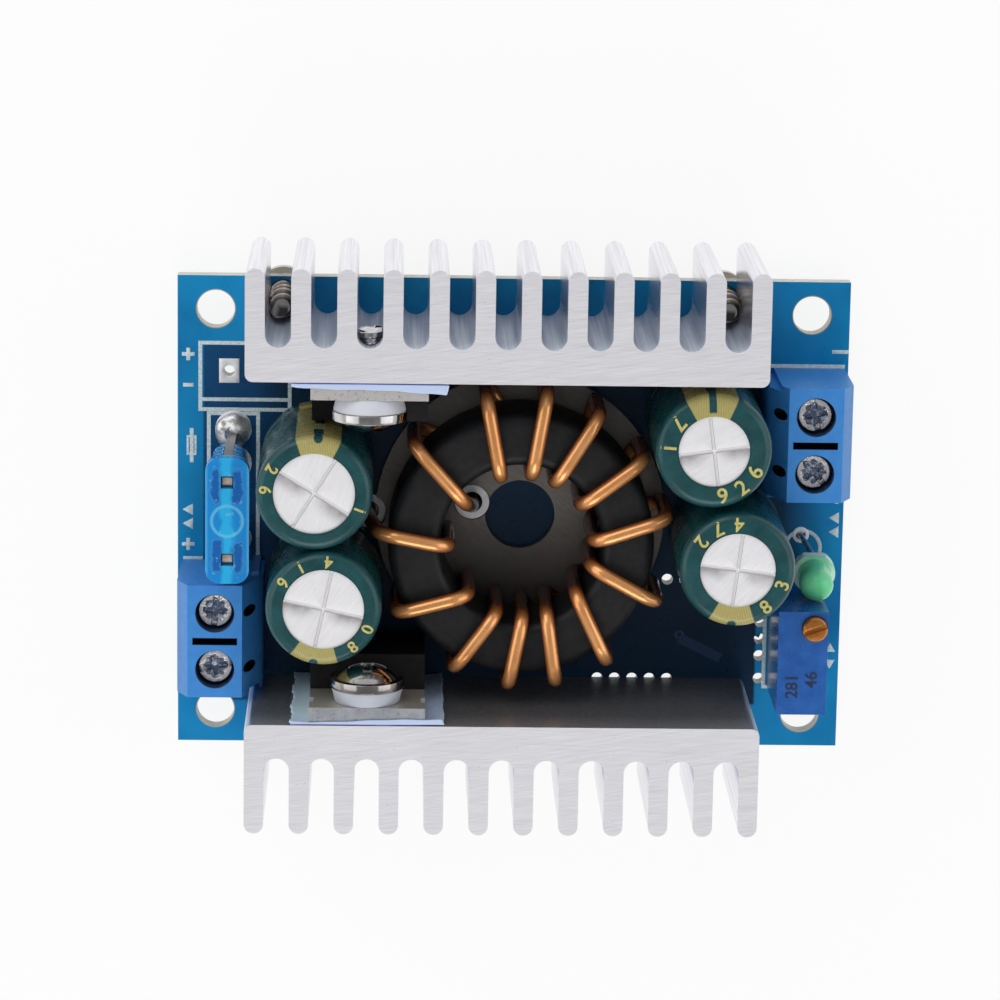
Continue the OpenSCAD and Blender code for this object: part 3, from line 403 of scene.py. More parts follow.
tin = mottled("tinned_copper", (206, 206, 210), 0.3, (1.2, 3), (188, 188, 192), (222, 222, 224), 0.35, 0.65,
              shine=((4, 4), 0.2, 0.42), grit=((3, 3), 0.02, 0.4), metallic=1.0)
pads = [ring(p, 1.0, 0.5, BOARD_TOP, PAD_RISE, 28) for p in FAN_HOLES[1:]]
pads += [ring(p, 1.64, 1.1, BOARD_TOP, PAD_RISE) for p in FUSE_LANDS]
square = ring(FAN_HOLES[0], 1.1, 0.5, BOARD_TOP, PAD_RISE, 32)
for vertex in square.data.vertices:
    reach = max(abs(vertex.co.x), abs(vertex.co.y))
    if vertex.co.xy.length > 0.8 * MM:
        vertex.co.x *= 0.82 * vertex.co.xy.length / reach
        vertex.co.y *= 1.1 * MM / max(reach, 0.0001 * MM)
pads.append(square)
pads += [ring(p, 0.75, 0.42, BOARD_TOP, PAD_RISE, 24) for p in LED_HOLES]
bright_tin = mottled("flowed_solder", (240, 240, 242), 0.4, (1.5, 3), (226, 226, 230), (246, 246, 248),
                     shine=((3, 3), 0.3, 0.5), grit=((2, 3), 0.03, 0.5), metallic=0.2)
fit(soften(join(pads, "board_pads"), 0.015, 1), bright_tin, "solder")
wire_pads = [ring(p, 1.55, 0.92, BOARD_TOP, rise) for p, rise in zip(WIRE_HOLES, (EYELET_RISE, PAD_RISE))]
fit(soften(join(wire_pads, "choke_wire_pads"), 0.04, 2), bright_tin, "solder")

# Printed legend
# White ink screened on the mask: outlines of the fan header, fuse, terminals, trimmer and LED, plus and
# minus signs, a fuse symbol and small triangles for the flow of power.
INK_RISE = 0.025
LINE = 0.34
INK_LINES = [
    ((-27.98, 15.34), (-19.99, 15.34)), ((-27.98, 10.21), (-19.99, 10.21)), ((-27.98, 9.30), (-19.99, 9.30)),
    ((-27.98, 15.34), (-27.98, 9.30)), ((-19.99, 15.34), (-19.99, 9.30)),
    ((-27.22, 8.94), (-22.81, 8.94)), ((-27.22, 8.94), (-27.22, -3.9)), ((-22.81, 8.94), (-22.81, -3.9)),
    ((-29.36, -4.4), (-27.92, -4.4)), ((28.67, 15.13), (29.8, 15.13)), ((23.06, 13.8), (29.52, 13.8)),
    ((23.2, -9.4), (23.2, -15.9)), ((28.2, -9.4), (28.2, -15.9)), ((23.2, -15.9), (28.2, -15.9)),
    ((-29.45, 14.3), (-28.65, 14.3)), ((-29.05, 13.9), (-29.05, 14.7)),
    ((-29.45, -3.1), (-28.65, -3.1)), ((-29.05, -3.5), (-29.05, -2.7)),
    ((-29.35, 11.5), (-28.75, 11.5)),
    ((-28.75, 4.6), (-28.75, 7.4)), ((28.95, 1.8), (29.75, 1.8)), ((29.35, 1.4), (29.35, 2.2)),
]
FUSE_MARK = [((-29.1, 5.2), (-28.4, 5.2)), ((-29.1, 6.8), (-28.4, 6.8)), ((-29.1, 5.2), (-29.1, 6.8)),
             ((-28.4, 5.2), (-28.4, 6.8))]
FLOW_MARKS = [((-28.95, -1.2), 0.62, 90), ((-28.95, 0.1), 0.62, 90), ((29.3, -0.1), 0.62, 90),
              ((29.3, -1.4), 0.62, 90), ((29.2, -12.3), 0.55, 0), ((29.2, -13.6), 0.55, 180)]


def triangle(at, radius, turn, low, rise):
    piece = disc(at, radius, low, rise, 3)
    piece.rotation_euler = (0, 0, math.radians(turn))
    return piece


ink = mottled("legend_ink", (206, 220, 222), 0.55, (5, 4, 0.6), (176, 198, 206), (218, 229, 230), 0.36, 0.62,
              grit=((12, 2), 0.01, 0.4))
marks = [bar(a, b, LINE, BOARD_TOP, INK_RISE + 0.0015 * k) for k, (a, b) in enumerate(INK_LINES)]
marks += [bar(a, b, 0.2, BOARD_TOP, INK_RISE + 0.04 + 0.003 * k) for k, (a, b) in enumerate(FUSE_MARK)]
marks += [triangle(at, r, turn, BOARD_TOP, INK_RISE) for at, r, turn in FLOW_MARKS]
marks += [ring((26.4, -2.9), 1.75, 1.42, BOARD_TOP, INK_RISE)]
fit(soften(join(marks, "board_legend"), 0.006, 1), ink, "solder_mask")

# Heatsinks
# Two lengths of comb extrusion with twelve round-tipped fins, sawn off square at both ends. The sawn ends
# keep fine blade marks and a bright deburred edge, and the walls keep the streaks of the die.


def put(name, data):
    """A new object in the scene."""
    thing = bpy.data.objects.new(name, data)
    bpy.context.scene.collection.objects.link(thing)
    return thing


def worked_copy(node, name, width=0.0, segments=2, angle=35):
    """A CAD node's solid as one clean mesh, with its sharp edges rounded."""
    piece = put(name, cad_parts[node].data.copy())
    piece.data.name = name
    pick(piece)
    edit_all()
    bpy.ops.mesh.remove_doubles(threshold=0.002 * MM)
    bpy.ops.mesh.dissolve_limited(angle_limit=math.radians(0.6))
    enter("OBJECT")
    if "custom_normal" in piece.data.attributes:
        bpy.ops.mesh.customdata_custom_splitnormals_clear()
    if width:
        soften(piece, width, segments, angle)
    else:
        smooth(angle)
    return piece


def clad(node, name, mat, slot, *rounding, body=BODY, **shading):
    """Shows a node as a rounded copy with a finish."""
    return fit(worked_copy(node, name, *rounding, **shading), mat, slot, node, body=body)


def between(share, a, b):
    """One number going over to another."""
    return add("Mix", {0: share, 2: a, 3: b}, data_type="FLOAT").outputs[0]


def unless(share):
    return maths("SUBTRACT", 1.0, share)


alloy = finish("extruded_aluminium", (226, 226, 230), 0.34, metallic=1.0)
sawn = upright()
place = xyz()
depth = maths("ABSOLUTE", place[1])
inner = span(depth, 15.16, 15.2, 1, 0)
fin_sides = span(depth, 18.4, 20.4)
end_wall = span(maths("ABSOLUTE", maths("ADD", place[0], 1.0)), 22.2, 22.3)
tips = maths("MAXIMUM", fin_sides, end_wall)
mirror = times(fin_sides, unless(end_wall))
blade_lines = grain(1.0, 5, 0.7, stretch=(0.12, 11, 1), turn=2.5)
cross_lines = grain(1.0, 4, 0.7, stretch=(0.2, 5, 1), turn=-9)
saw_height = maths("ADD", blade_lines, cross_lines)
die_lines = grain(1.0, 4, 0.65, stretch=(5, 5, 0.05))
scuffs = grain(2.4, 6, 0.75)
flecks = span(grain(3.5, 3, 0.6), 0.7, 0.76)
nicks = span(grain(5, 5, 0.7), 0.6, 0.66)
saw_tone = mix(span(saw_height, 0.75, 1.25), (212, 211, 216), (234, 233, 238))
saw_tone = mix(flecks, saw_tone, (168, 165, 164))
# Painted reflection: the slot walls are tinted blue, as if the blue board showed in them, over the streaks of
# the die.
wall_lines_and_painted_reflection = mix(span(die_lines, 0.3, 0.7), (176, 191, 210), (230, 237, 245))
wall_lines_and_painted_reflection = mix(nicks, wall_lines_and_painted_reflection, (246, 247, 250))
# Painted reflection: the fin sides and end walls are painted near white, as if the white floor showed in
# them.
drawn = grain(1.0, 4, 0.7, stretch=(4, 4, 0.04))
fin_painted_reflection = mix(span(drawn, 0.36, 0.6), (222, 222, 230), (249, 248, 254))
wall_lines_and_painted_reflection = mix(tips, wall_lines_and_painted_reflection, fin_painted_reflection)
# Painted shade: the inner faces are painted dark grey with scuffs, and painted light makes them paler towards
# the top edge.
inner_face_painted_shade = mix(span(scuffs, 0.35, 0.65), (132, 133, 138), (166, 167, 172))
near_top = span(place[2], 13, 19)
inner_face_painted_shade = mix(span(place[2], 15, 19.2), inner_face_painted_shade, (196, 197, 202))
inner_face_painted_shade = mix(times(nicks, near_top), inner_face_painted_shade, (240, 240, 242))
wall_lines_and_painted_reflection = mix(inner, wall_lines_and_painted_reflection, inner_face_painted_shade)
tint(mix(sawn, wall_lines_and_painted_reflection, saw_tone))
saw_rough = span(saw_height, 0.6, 1.4, 0.46, 0.6)
wall_rough = span(die_lines, 0.3, 0.7, 0.34, 0.5)
wall_rough = between(inner, wall_rough, 0.34)
wall_rough = between(mirror, wall_rough, 0.22)
rough = between(sawn, wall_rough, saw_rough)
paint("Roughness", rough)
pale = maths("MAXIMUM", sawn, tips)
wall_metal = span(inner, 0, 1, 0.25, 0.7)
metal = between(pale, wall_metal, 0.4)
mirror = times(mirror, unless(sawn))
metal = between(mirror, metal, 0.9)
paint("Metallic", metal)
die_depth = span(inner, 0, 1, 0.6, 0.0)
wall_height = times(die_lines, die_depth)
wall_height = maths("MULTIPLY_ADD", scuffs, 0.2, wall_height)
height = between(sawn, wall_height, saw_height)
dent(height, 0.008, 0.5)
for end in ("rear", "front"):
    clad(f"{end}_heatsink", f"{end}_heatsink_sawn", alloy, "extruded_aluminium", 0.07, 2, 40)

# Heatsink screws
# Zinc-plated self-tapping screws driven up through the board into the first and last fin slots. The head
# is the foot that the module stands on, and the coarse thread shows in the slot.
THREAD_PITCH = 1.9
THREAD_CREST = 1.3
THREAD_ROOT = 0.86
THREAD_FROM = 1.4
THREAD_TO = 8.0
TIP_LENGTH = 2.6
TIP_TAPER = 0.18
THREAD_STEPS = 28
SINK_SCREWS = [(x, y) for x in (-20.56, 18.64) for y in (-19.725, 19.725)]


def threaded_rod(at, crest, root, pitch, low, high, taper=TIP_TAPER):
    """A tooth profile wound up with the screw modifier and cut flat at both ends."""
    clear_selection()
    bpy.ops.mesh.primitive_circle_add(vertices=4, radius=MM)
    rod = bpy.context.object
    profile = [(root, 0), (root, 0.6 * pitch), (crest, 0.82 * pitch), (root, pitch)]
    for vertex, (r, z) in zip(rod.data.vertices, profile):
        vertex.co = (r * MM, 0, (low - pitch + z) * MM)
    ends = {0, 3}
    for edge in rod.data.edges:
        edge.select = set(edge.vertices) == ends
    for vertex in rod.data.vertices:
        vertex.select = False
    enter("EDIT")
    bpy.ops.mesh.select_mode(type="EDGE")
    bpy.ops.mesh.delete(type="EDGE")
    bpy.ops.mesh.select_mode(type="VERT")
    enter("OBJECT")
    turns = math.ceil((high - low) / pitch) + 2
    work(rod, "SCREW", screw_offset=pitch * MM, iterations=turns, steps=THREAD_STEPS,
         render_steps=THREAD_STEPS, use_merge_vertices=True, merge_threshold=0.005 * MM)
    enter("EDIT")
    for cut_z, keep_up in ((low, True), (high, False)):
        bpy.ops.mesh.select_all(action="SELECT")
        bpy.ops.mesh.bisect(plane_co=(0, 0, cut_z * MM), plane_no=(0, 0, 1), use_fill=True,
                            clear_inner=keep_up, clear_outer=not keep_up)
    close(0.003)
    smooth(40)
    for vertex in rod.data.vertices:
        near = max(0, vertex.co.z / MM - high + TIP_LENGTH) / TIP_LENGTH
        vertex.co.x *= 1 - taper * near
        vertex.co.y *= 1 - taper * near
    rod.location = (at[0] * MM, at[1] * MM, 0)
    return rod


heads = worked_copy("heatsink_screws", "screw_heads")
pick(heads)
edit_all()
bpy.ops.mesh.bisect(plane_co=(0, 0, THREAD_FROM * MM), plane_no=(0, 0, 1), use_fill=True, clear_outer=True)
enter("OBJECT")
soften(heads, 0.12, 2)
rods = [threaded_rod(p, THREAD_CREST, THREAD_ROOT, THREAD_PITCH, THREAD_FROM, THREAD_TO) for p in SINK_SCREWS]
drab = finish("dull_zinc_plate", (168, 164, 158), 0.4, metallic=0.8)
plate_tone_with_painted_thread_light = mottle((1.2, 4), (112, 104, 94), (142, 134, 124), 0.35, 0.65)
mid_x = (SINK_SCREWS[0][0] + SINK_SCREWS[2][0]) / 2
half_span = (abs(SINK_SCREWS[0][0] - SINK_SCREWS[2][0]) / 2, abs(SINK_SCREWS[0][1]))
from_axis = from_corners(half_span, centre=(mid_x, 0, 0))
up = xyz()[2]
slim = span(up, THREAD_TO - TIP_LENGTH, THREAD_TO, 1.0, 1.0 - TIP_TAPER)
reach = maths("DIVIDE", from_axis, slim)
# Painted light on the thread: the flanks darken towards the root as painted shade, and the crests are painted
# bright as a painted highlight; the flat end of the rod is bright too.
painted_crest_highlight = span(reach, THREAD_CREST - 0.16, THREAD_CREST - 0.05)
plate_tone_with_painted_thread_light = mix(span(reach, 0.9, THREAD_CREST - 0.2, 0.7, 0), plate_tone_with_painted_thread_light, (60, 54, 48))
end_face = span(up, THREAD_TO - 0.05, THREAD_TO - 0.01)
plate_tone_with_painted_thread_light = mix(maths("MAXIMUM", painted_crest_highlight, end_face), plate_tone_with_painted_thread_light, (206, 200, 192))
tint(plate_tone_with_painted_thread_light)
gloss((4, 5, 0.65), 0.28, 0.46)
pits((9, 3), 0.01, 0.5)
fit(join([heads] + rods, "heatsink_screws_threaded"), drab, "plated_steel", "heatsink_screws")

# Insulating pads
# Pale blue silicone sheet cut by hand and pinched between each transistor and its heatsink. The cut edge
# wavers, and the free margin at the top and sides swells out a little.
PAD_X = -12.72
PAD_HALF = 6.8
PAD_LOW = 1.9
PAD_HIGH = 18.98
SINK_FACE = 15.125
PAD_THICK = 0.25
PAD_HOLE_R = 1.8
CLAMPED_HALF = 5.15
FREE_MARGIN = 1.6
FIX_Z = 16.05
RIM_LEFT = {"rear": 0.34, "front": 0.22}
RIM_RIGHT = {"rear": 0.82, "front": 0.5}
RIM_GAP = {"rear": 0.02, "front": 0.07}


def translucent(weight, radius):
    """Lets light a little way into the surface, by a radius in millimetres for each colour."""
    shader().inputs["Subsurface Weight"].default_value = weight
    shader().inputs["Subsurface Radius"].default_value = tuple(r * MM for r in radius)


sheet = finish("silicone_sheet", (182, 204, 238), 0.5)
place = xyz()
sheet_tone = mottle((2.2, 4), (174, 198, 236), (198, 217, 246))
# Painted light: the front pad is painted paler on its left, where more light falls.
painted_light_left = span(place[0], -17.6, -16.6, 1, 0)
painted_light_left = times(painted_light_left, span(place[1], -5, 5, 1, 0))
sheet_tone = mix(painted_light_left, sheet_tone, (210, 236, 255))
sheet_tone = mix(span(place[2], 16.5, 18.9), sheet_tone, (190, 206, 236))
# Painted shade: a dark blue line along the top, where the sheet meets the heatsink face.
painted_shade_at_sink = span(maths("ABSOLUTE", place[1]), 14.96, 15.04)
painted_shade_at_sink = times(painted_shade_at_sink, span(place[2], 18.3, 18.6))
tint(mix(painted_shade_at_sink, sheet_tone, (104, 120, 204)))
translucent(0.15, (0.3, 0.4, 0.6))
pits((14, 2), 0.02, 0.5)
for end, side, seed in (("rear", 1, 3), ("front", -1, 8)):
    clear_selection()
    bpy.ops.mesh.primitive_grid_add(x_subdivisions=54, y_subdivisions=66, size=2)
    pad = bpy.context.object
    waver = random.Random(seed)
    shifts = [waver.uniform(0, 6.28) for _ in range(6)]
    for vertex in pad.data.vertices:
        u, v = vertex.co.x, vertex.co.y
        ragged = 0.10 * math.sin(9 * v + shifts[0]) + 0.05 * math.sin(31 * v + shifts[1])
        top_wave = 0.06 * math.sin(5 * u + shifts[2]) + 0.03 * math.sin(17 * u + shifts[3])
        x = PAD_X + u * (PAD_HALF - 0.12) + (ragged if u < 0 else 0.4 * ragged) * abs(u) ** 6
        z = PAD_LOW + (v + 1) / 2 * (PAD_HIGH - PAD_LOW) + (top_wave - 0.09) * max(0, v) ** 8
        free = max(0, (abs(x - PAD_X) - CLAMPED_HALF) / FREE_MARGIN)
        lift = 0.04 + 0.3 * free * free * (0.4 + 0.6 * max(0, v)) * (1.3 if u > 0 else 0.6)
        vertex.co = (x * MM, side * (SINK_FACE - lift) * MM, z * MM)
    enter("EDIT")
    bpy.ops.mesh.select_mode(type="FACE")
    bpy.ops.mesh.select_all(action="DESELECT")
    enter("OBJECT")
    for polygon in pad.data.polygons:
        offset = Vector((polygon.center.x / MM - PAD_X, polygon.center.z / MM - FIX_Z))
        polygon.select = offset.length < PAD_HOLE_R
    enter("EDIT")
    bpy.ops.mesh.delete(type="FACE")
    bpy.ops.mesh.select_mode(type="VERT")
    close()
    outward = sum(p.normal.y for p in pad.data.polygons) * side
    work(pad, "SOLIDIFY", thickness=(PAD_THICK - 0.06) * MM, offset=1.0 if outward < 0 else -1.0)
    clear_selection()
    bpy.ops.mesh.primitive_grid_add(x_subdivisions=90, y_subdivisions=6, size=2)
    rim = bpy.context.object
    for vertex in rim.data.vertices:
        u, v = vertex.co.x, (vertex.co.y + 1) / 2
        wave = 0.05 * math.sin(4 * u + shifts[4]) + 0.025 * math.sin(13 * u + shifts[5])
        back = 0.07 + RIM_GAP[end] * max(0, u + 0.3)
        front = back + RIM_LEFT[end] + (RIM_RIGHT[end] - RIM_LEFT[end]) * (u + 1) / 2 + wave
        step = 0.22 * math.floor(3 * v) / 3 + 0.06 * math.sin(40 * v + shifts[1])
        ends = step * abs(u) ** 30 * (-1 if u > 0 else 0.4)
        y = side * (SINK_FACE - back - (front - back) * v)
        z = PAD_HIGH - 0.05 * v * v + 0.3 * wave
        vertex.co = ((PAD_X + u * (PAD_HALF - 0.1) + ends) * MM, y * MM, z * MM)
    work(rim, "SOLIDIFY", thickness=0.1 * MM, offset=side)
    pad = join([pad, rim], f"{end}_silicone_sheet")
    close()
    fit(soften(pad, 0.02, 1, 50), sheet, "silicone", f"{end}_insulating_pad")

# Transistors
# Power packages upright against the heatsinks: a tin-plated copper tab with its legs and a black
# moulded body, held by a pan head screw through a white stepped bush.
steel = finish("plated_steel", (212, 212, 214), 0.18, metallic=1.0)
zinc_tone = mottle((0.8, 4), (184, 181, 180), (214, 213, 214), 0.35, 0.65)
# Painted shade: the front screw's head is painted darker than the rear one.
front_head_painted_shade = span(xyz()[1], -12, -11, 1, 0)
tint(mix(front_head_painted_shade, zinc_tone, (158, 152, 147)))
paint("Roughness", span(grain(3, 5, 0.65), 0.3, 0.75, 0.06, 0.2))
pits((9, 3), 0.004, 0.4)
plate = finish("tinned_tab", (176, 174, 170), 0.4, metallic=0.65)
rub = grain(1.0, 5, 0.7, stretch=(6, 6, 0.3))
stain = span(grain(0.9, 5, 0.65), 0.35, 0.65)
cut_edge = upright()
face_stain_and_painted_light = mix(stain, (122, 117, 108), (152, 148, 141))
# Painted light and shade: the front tab's face is painted paler, and its cut edges darker and bluer, than the
# rear tab's.
rear_tab = span(xyz()[1], -5, 5)
face_stain_and_painted_light = mix(rear_tab, (196, 192, 182), face_stain_and_painted_light)
edge_tone_and_painted_shade = mix(rear_tab, (158, 163, 172), (206, 202, 200))
edge_tone_and_painted_shade = mix(times(stain, 0.4), edge_tone_and_painted_shade, (214, 214, 216))
speck = span(grain(3, 5, 0.75), 0.55, 0.65, 0, 0.55)
edge_tone_and_painted_shade = mix(speck, edge_tone_and_painted_shade, (126, 108, 92))
tint(mix(cut_edge, face_stain_and_painted_light, edge_tone_and_painted_shade))
paint("Roughness", span(rub, 0.3, 0.7, 0.34, 0.54))
dent(rub, 0.01, 0.5)
moulding = mottled("black_moulding", (30, 30, 32), 0.5, (1.4, 4), (15, 15, 17), (26, 26, 28),
                   shine=((8, 3), 0.42, 0.62), grit=((18, 2), 0.012, 0.5), specular=0.18)
nylon = finish("white_nylon", (208, 211, 220), 0.42)
bush_tone = mottle((0.6, 3), (204, 207, 217), (215, 217, 225))
# Painted shade: the front bush is painted darker and greyer than the rear one.
front_bush_painted_shade = span(xyz()[1], -5, 5, 1, 0)
tint(mix(front_bush_painted_shade, bush_tone, (182, 188, 199)))
translucent(0.2, (0.5, 0.5, 0.45))
pits((10, 2), 0.004, 0.4)
SLOT_FLOOR = 18.0
FIX_THREAD = (1.44, 1.1, 0.5)
for end in ("rear", "front"):
    dressed = [("tab", 0.05, plate, "tinned_metal"), ("body", 0.12, moulding, "moulded_black")]
    for part, width, look, slot in dressed:
        clad(f"{end}_transistor_{part}", f"{end}_transistor_{part}_edged", look, slot, width, 2)
    clad(f"{end}_insulating_bush", f"{end}_bush_moulded", nylon, "white_nylon", 0.1, 3)
    screw = worked_copy(f"{end}_transistor_screw", f"{end}_pan_head_screw", 0.14, 3)
    parts = [screw]
    tip = max(abs(vertex.co.y) for vertex in screw.data.vertices) / MM
    for vertex in screw.data.vertices:
        if abs(vertex.co.y) > SLOT_FLOOR * MM:
            vertex.co.y = math.copysign(SLOT_FLOOR * MM, vertex.co.y)
    if end == "rear":
        rod = threaded_rod((0, 0), *FIX_THREAD, SLOT_FLOOR - 0.1, tip, 0.1)
        rod.rotation_euler = (-math.pi / 2, 0, 0)
        rod.location = (PAD_X * MM, 0, FIX_Z * MM)
        parts.append(rod)
    fit(join(parts, f"{end}_pan_head_screw"), steel, "plated_steel", f"{end}_transistor_screw")

# Choke
# A pressed powder ring with a black epoxy coat, wound by hand with thirteen turns of thick enamelled copper
# wire and set on a grey fibre disc. The wire's ends go down through the board.
CHOKE = (0.63, -0.55)
WIRE_R = 0.65
COIL_LOW, COIL_HIGH = 3.25, 12.85
COIL_IN, COIL_OUT = 6.35, 12.45
CORE_Z = 4.0
TURN_LAY = [
    (0, -5.1, 0.55), (0, -3.4, 1.05), (1.5, -1.3, 1.25), (6.2, -2.5, 1.05), (5.3, 0.8, 0.7), (2.2, 7.1, 0.55),
    (0, -6.7, 0.5), (-3.2, -12.6, 0.45), (-3.4, -6.6, 0.25), (2.3, -6.4, 0.2), (5.2, -8.5, 0.05),
    (0, -14.8, 0), (-5, -5.6, 0),
]
FIRST_TURN = 139.3
TURN_STEP = 24.9
END_GAP = 8.9
BEND = 1.9
BEND_STEPS = 9
LEAD_END = -1.3
coat = mottled("black_epoxy_coat", (22, 22, 25), 0.5, (1.6, 4, 0.55), (16, 16, 19), (28, 28, 31),
               shine=((0.8, 5, 0.6), 0.42, 0.6), grit=((2.6, 4, 0.6), 0.04, 0.5), specular=0.35)
clad("choke_core", "choke_core_coated", coat, "coated_core", angle=60)

card = finish("grey_fibre_board", (122, 118, 113), 0.55)
strands = grain(1.0, 5, 0.7, stretch=(1.2, 6, 1), turn=35)
pressed = span(strands, 0.3, 0.7)
fibre_tone = mix(pressed, (110, 106, 102), (136, 131, 126))
from_mid = where(centre=(*CHOKE, 0), stretch=(1, 1, 0))
middle_r = length(from_mid)
# Painted shade: inside the ring the disc is painted darker towards the front, where the core's wall shades
# it.
painted_shade_front = span(add("SeparateXYZ", {0: from_mid}).outputs[1], -6, 1.5, 0.9, 0)
painted_shade_front = times(painted_shade_front, span(middle_r, 8, 9, 1, 0))
tint(mix(painted_shade_front, fibre_tone, (40, 34, 32)))
paint("Roughness", span(strands, 0.3, 0.7, 0.4, 0.62))
dent(strands, 0.01, 0.4)
clad("choke_base", "choke_base_disc", card, "base_board", 0.08, 2)


def round_choke(radius, angle, z):
    a = math.radians(angle)
    return Vector((CHOKE[0] + radius * math.cos(a), CHOKE[1] + radius * math.sin(a), z))


def wire_end(k, z):
    return Vector((*WIRE_HOLES[k], z))


route = [wire_end(0, LEAD_END), wire_end(0, CORE_Z)]
last = len(TURN_LAY) - 1
for i, (wander, lean, slack) in enumerate(TURN_LAY):
    middle = FIRST_TURN - TURN_STEP * i - END_GAP * (i > 0) - END_GAP * (i == last) + wander
    if i > 0:
        route.append(round_choke(COIL_IN, middle - lean / 2, COIL_LOW))
    route.append(round_choke(COIL_IN, middle - lean / 2, COIL_HIGH))
    route.append(round_choke(COIL_OUT + slack, middle + lean / 2, COIL_HIGH))
    if i < last:
        route.append(round_choke(COIL_OUT + slack, middle + lean / 2, COIL_LOW))
route += [wire_end(1, CORE_Z), wire_end(1, LEAD_END)]
path = [route[0]]
for before, here, after in zip(route, route[1:], route[2:]):
    start = here + BEND * (before - here).normalized()
    stop = here + BEND * (after - here).normalized()
    for k in range(BEND_STEPS + 1):
        t = k / BEND_STEPS
        path.append((1 - t) ** 2 * start + 2 * t * (1 - t) * here + t * t * stop)
path.append(route[-1])
wire_line = bpy.data.curves.new("winding_line", "CURVE")
wire_line.dimensions = "3D"
wire_line.bevel_depth = WIRE_R * MM
wire_line.bevel_resolution = 6
wire_line.use_fill_caps = True
spline = wire_line.splines.new("POLY")
spline.points.add(len(path) - 1)
for point, p in zip(spline.points, path):
    point.co = (*(p * MM), 1)
winding = put("choke_winding_wire", wire_line)
pick(winding)
bpy.ops.object.convert(target="MESH")
winding = bpy.context.object
close(0.002)
smooth(50)
copper = finish("enamelled_copper", (236, 158, 94), 0.26, metallic=0.6, coat=0.2)
enamel_and_painted_shade = mottle((0.3, 2), (242, 166, 100), (252, 182, 118))
# Painted shade: faces of the wire that look sideways or down are painted dark brown.
enamel_and_painted_shade = mix(span(facing_up(), 0.2, 0.9), (146, 74, 32), enamel_and_painted_shade)
wire_r = length(where(centre=(*CHOKE, 0), stretch=(1, 1, 0)))
# Painted shade: the wire inside the ring, below its top, is painted very dark brown.
painted_shade_in_coil = times(span(xyz()[2], COIL_HIGH - 2.2, COIL_HIGH - 0.5, 1, 0),
               span(wire_r, 7.1, 8.2, 1, 0))
tint(mix(painted_shade_in_coil, enamel_and_painted_shade, (78, 40, 20)))
gloss((1.2, 3), 0.18, 0.28)
pits((0.8, 2), 0.01, 0.15)
fit(join([winding], "choke_winding_wire"), copper, "enamelled_copper", "choke_winding")

# Capacitors
# Aluminium cans with a cross scored in the top as a vent, in teal heat-shrunk sleeves with a gold band down
# the negative side and plain gold figures, standing on rubber seals.
CAP_TOP = BOARD_TOP + 16
SHOULDER_R = 5.0
CAPS = {
    "input_capacitor_1": dict(at=(-17.48, 5.125), opening=3.535, score=-32, band=86, wide=46, bar=0,
                              figures=((150, "2"), (176, "6"), (-20, "1"))),
    "input_capacitor_2": dict(at=(-16.62, -5.125), opening=3.535, score=-12, band=-100, wide=50, bar=0,
                              figures=((-52, "8"), (-24, "0"), (146, "6"), (118, "1"), (84, "4"))),
    "output_capacitor_1": dict(at=(16.92, 9.2), opening=3.08, score=8, band=93, wide=54, bar=1,
                               figures=((-26, "6"), (-52, "2"), (-78, "9"), (142, "7"), (176, "1"))),
    "output_capacitor_2": dict(at=(19.24, -1.3), opening=3.28, score=-7, band=-95, wide=48, bar=0,
                               figures=((-52, "8"), (-18, "3"), (142, "2"), (116, "7"), (90, "4"))),
}


def can_finish(name, at, turn):
    """Bright rolled aluminium, pressed in a little along the two lines of the vent, with painted shade and
    painted light at the lines.
    """
    mat = finish(name, (232, 230, 232), 0.55, metallic=0.3)
    local = xyz(centre=(*at, 0), turn=-turn)
    gap = maths("MINIMUM", maths("ABSOLUTE", local[0]), maths("ABSOLUTE", local[1]))
    pressed = unless(maths("POWER", 0.12, gap))
    # Painted shade: a thin grey line along each edge of the grooves.
    line = times(span(gap, 0.1, 0.12), span(gap, 0.14, 0.17, 1, 0))
    # Painted shade: a dark wedge beside the lines on one side.
    painted_shade_wedge = times(span(local[1], -1.5, -0.14), span(local[1], -0.13, -0.12, 1, 0),
                span(maths("ABSOLUTE", local[0]), 0.1, 1.6))
    painted_shade_wedge = maths("POWER", painted_shade_wedge, 1.5)
    painted_shade_wedge = times(painted_shade_wedge, span(grain(0.8, 3), 0.3, 0.6, 0.5, 1.0))
    rolled = grain(1.0, 4, 0.6, stretch=(6, 0.6, 1), turn=turn + 50)
    sheet = mix(span(rolled, 0.3, 0.7), (229, 227, 230), (239, 238, 240))
    speck = span(grain(3.2, 3, 0.6), 0.68, 0.74, 0, 0.6)
    sheet = mix(speck, sheet, (186, 182, 180))
    # Painted light: the floor of the grooves is painted near white.
    sheet = mix(span(gap, 0.08, 0.1, 1, 0), sheet, (246, 245, 247))
    sheet = mix(painted_shade_wedge, sheet, (150, 146, 150))
    tint(mix(line, sheet, (194, 192, 196)))
    paint("Roughness", span(rolled, 0.3, 0.7, 0.5, 0.62))
    dent(maths("MULTIPLY_ADD", rolled, 0.006, pressed), 0.28, 0.8)
    return mat


rubber = mottled("seal_rubber", (30, 30, 30), 0.7, (3, 3), (24, 24, 24), (40, 39, 38),
                 grit=((12, 2), 0.01, 0.5))
gold_ink = mottled("gold_ink", (196, 184, 104), 0.42, (4, 4), (178, 166, 86), (208, 198, 122), coat=0.1)


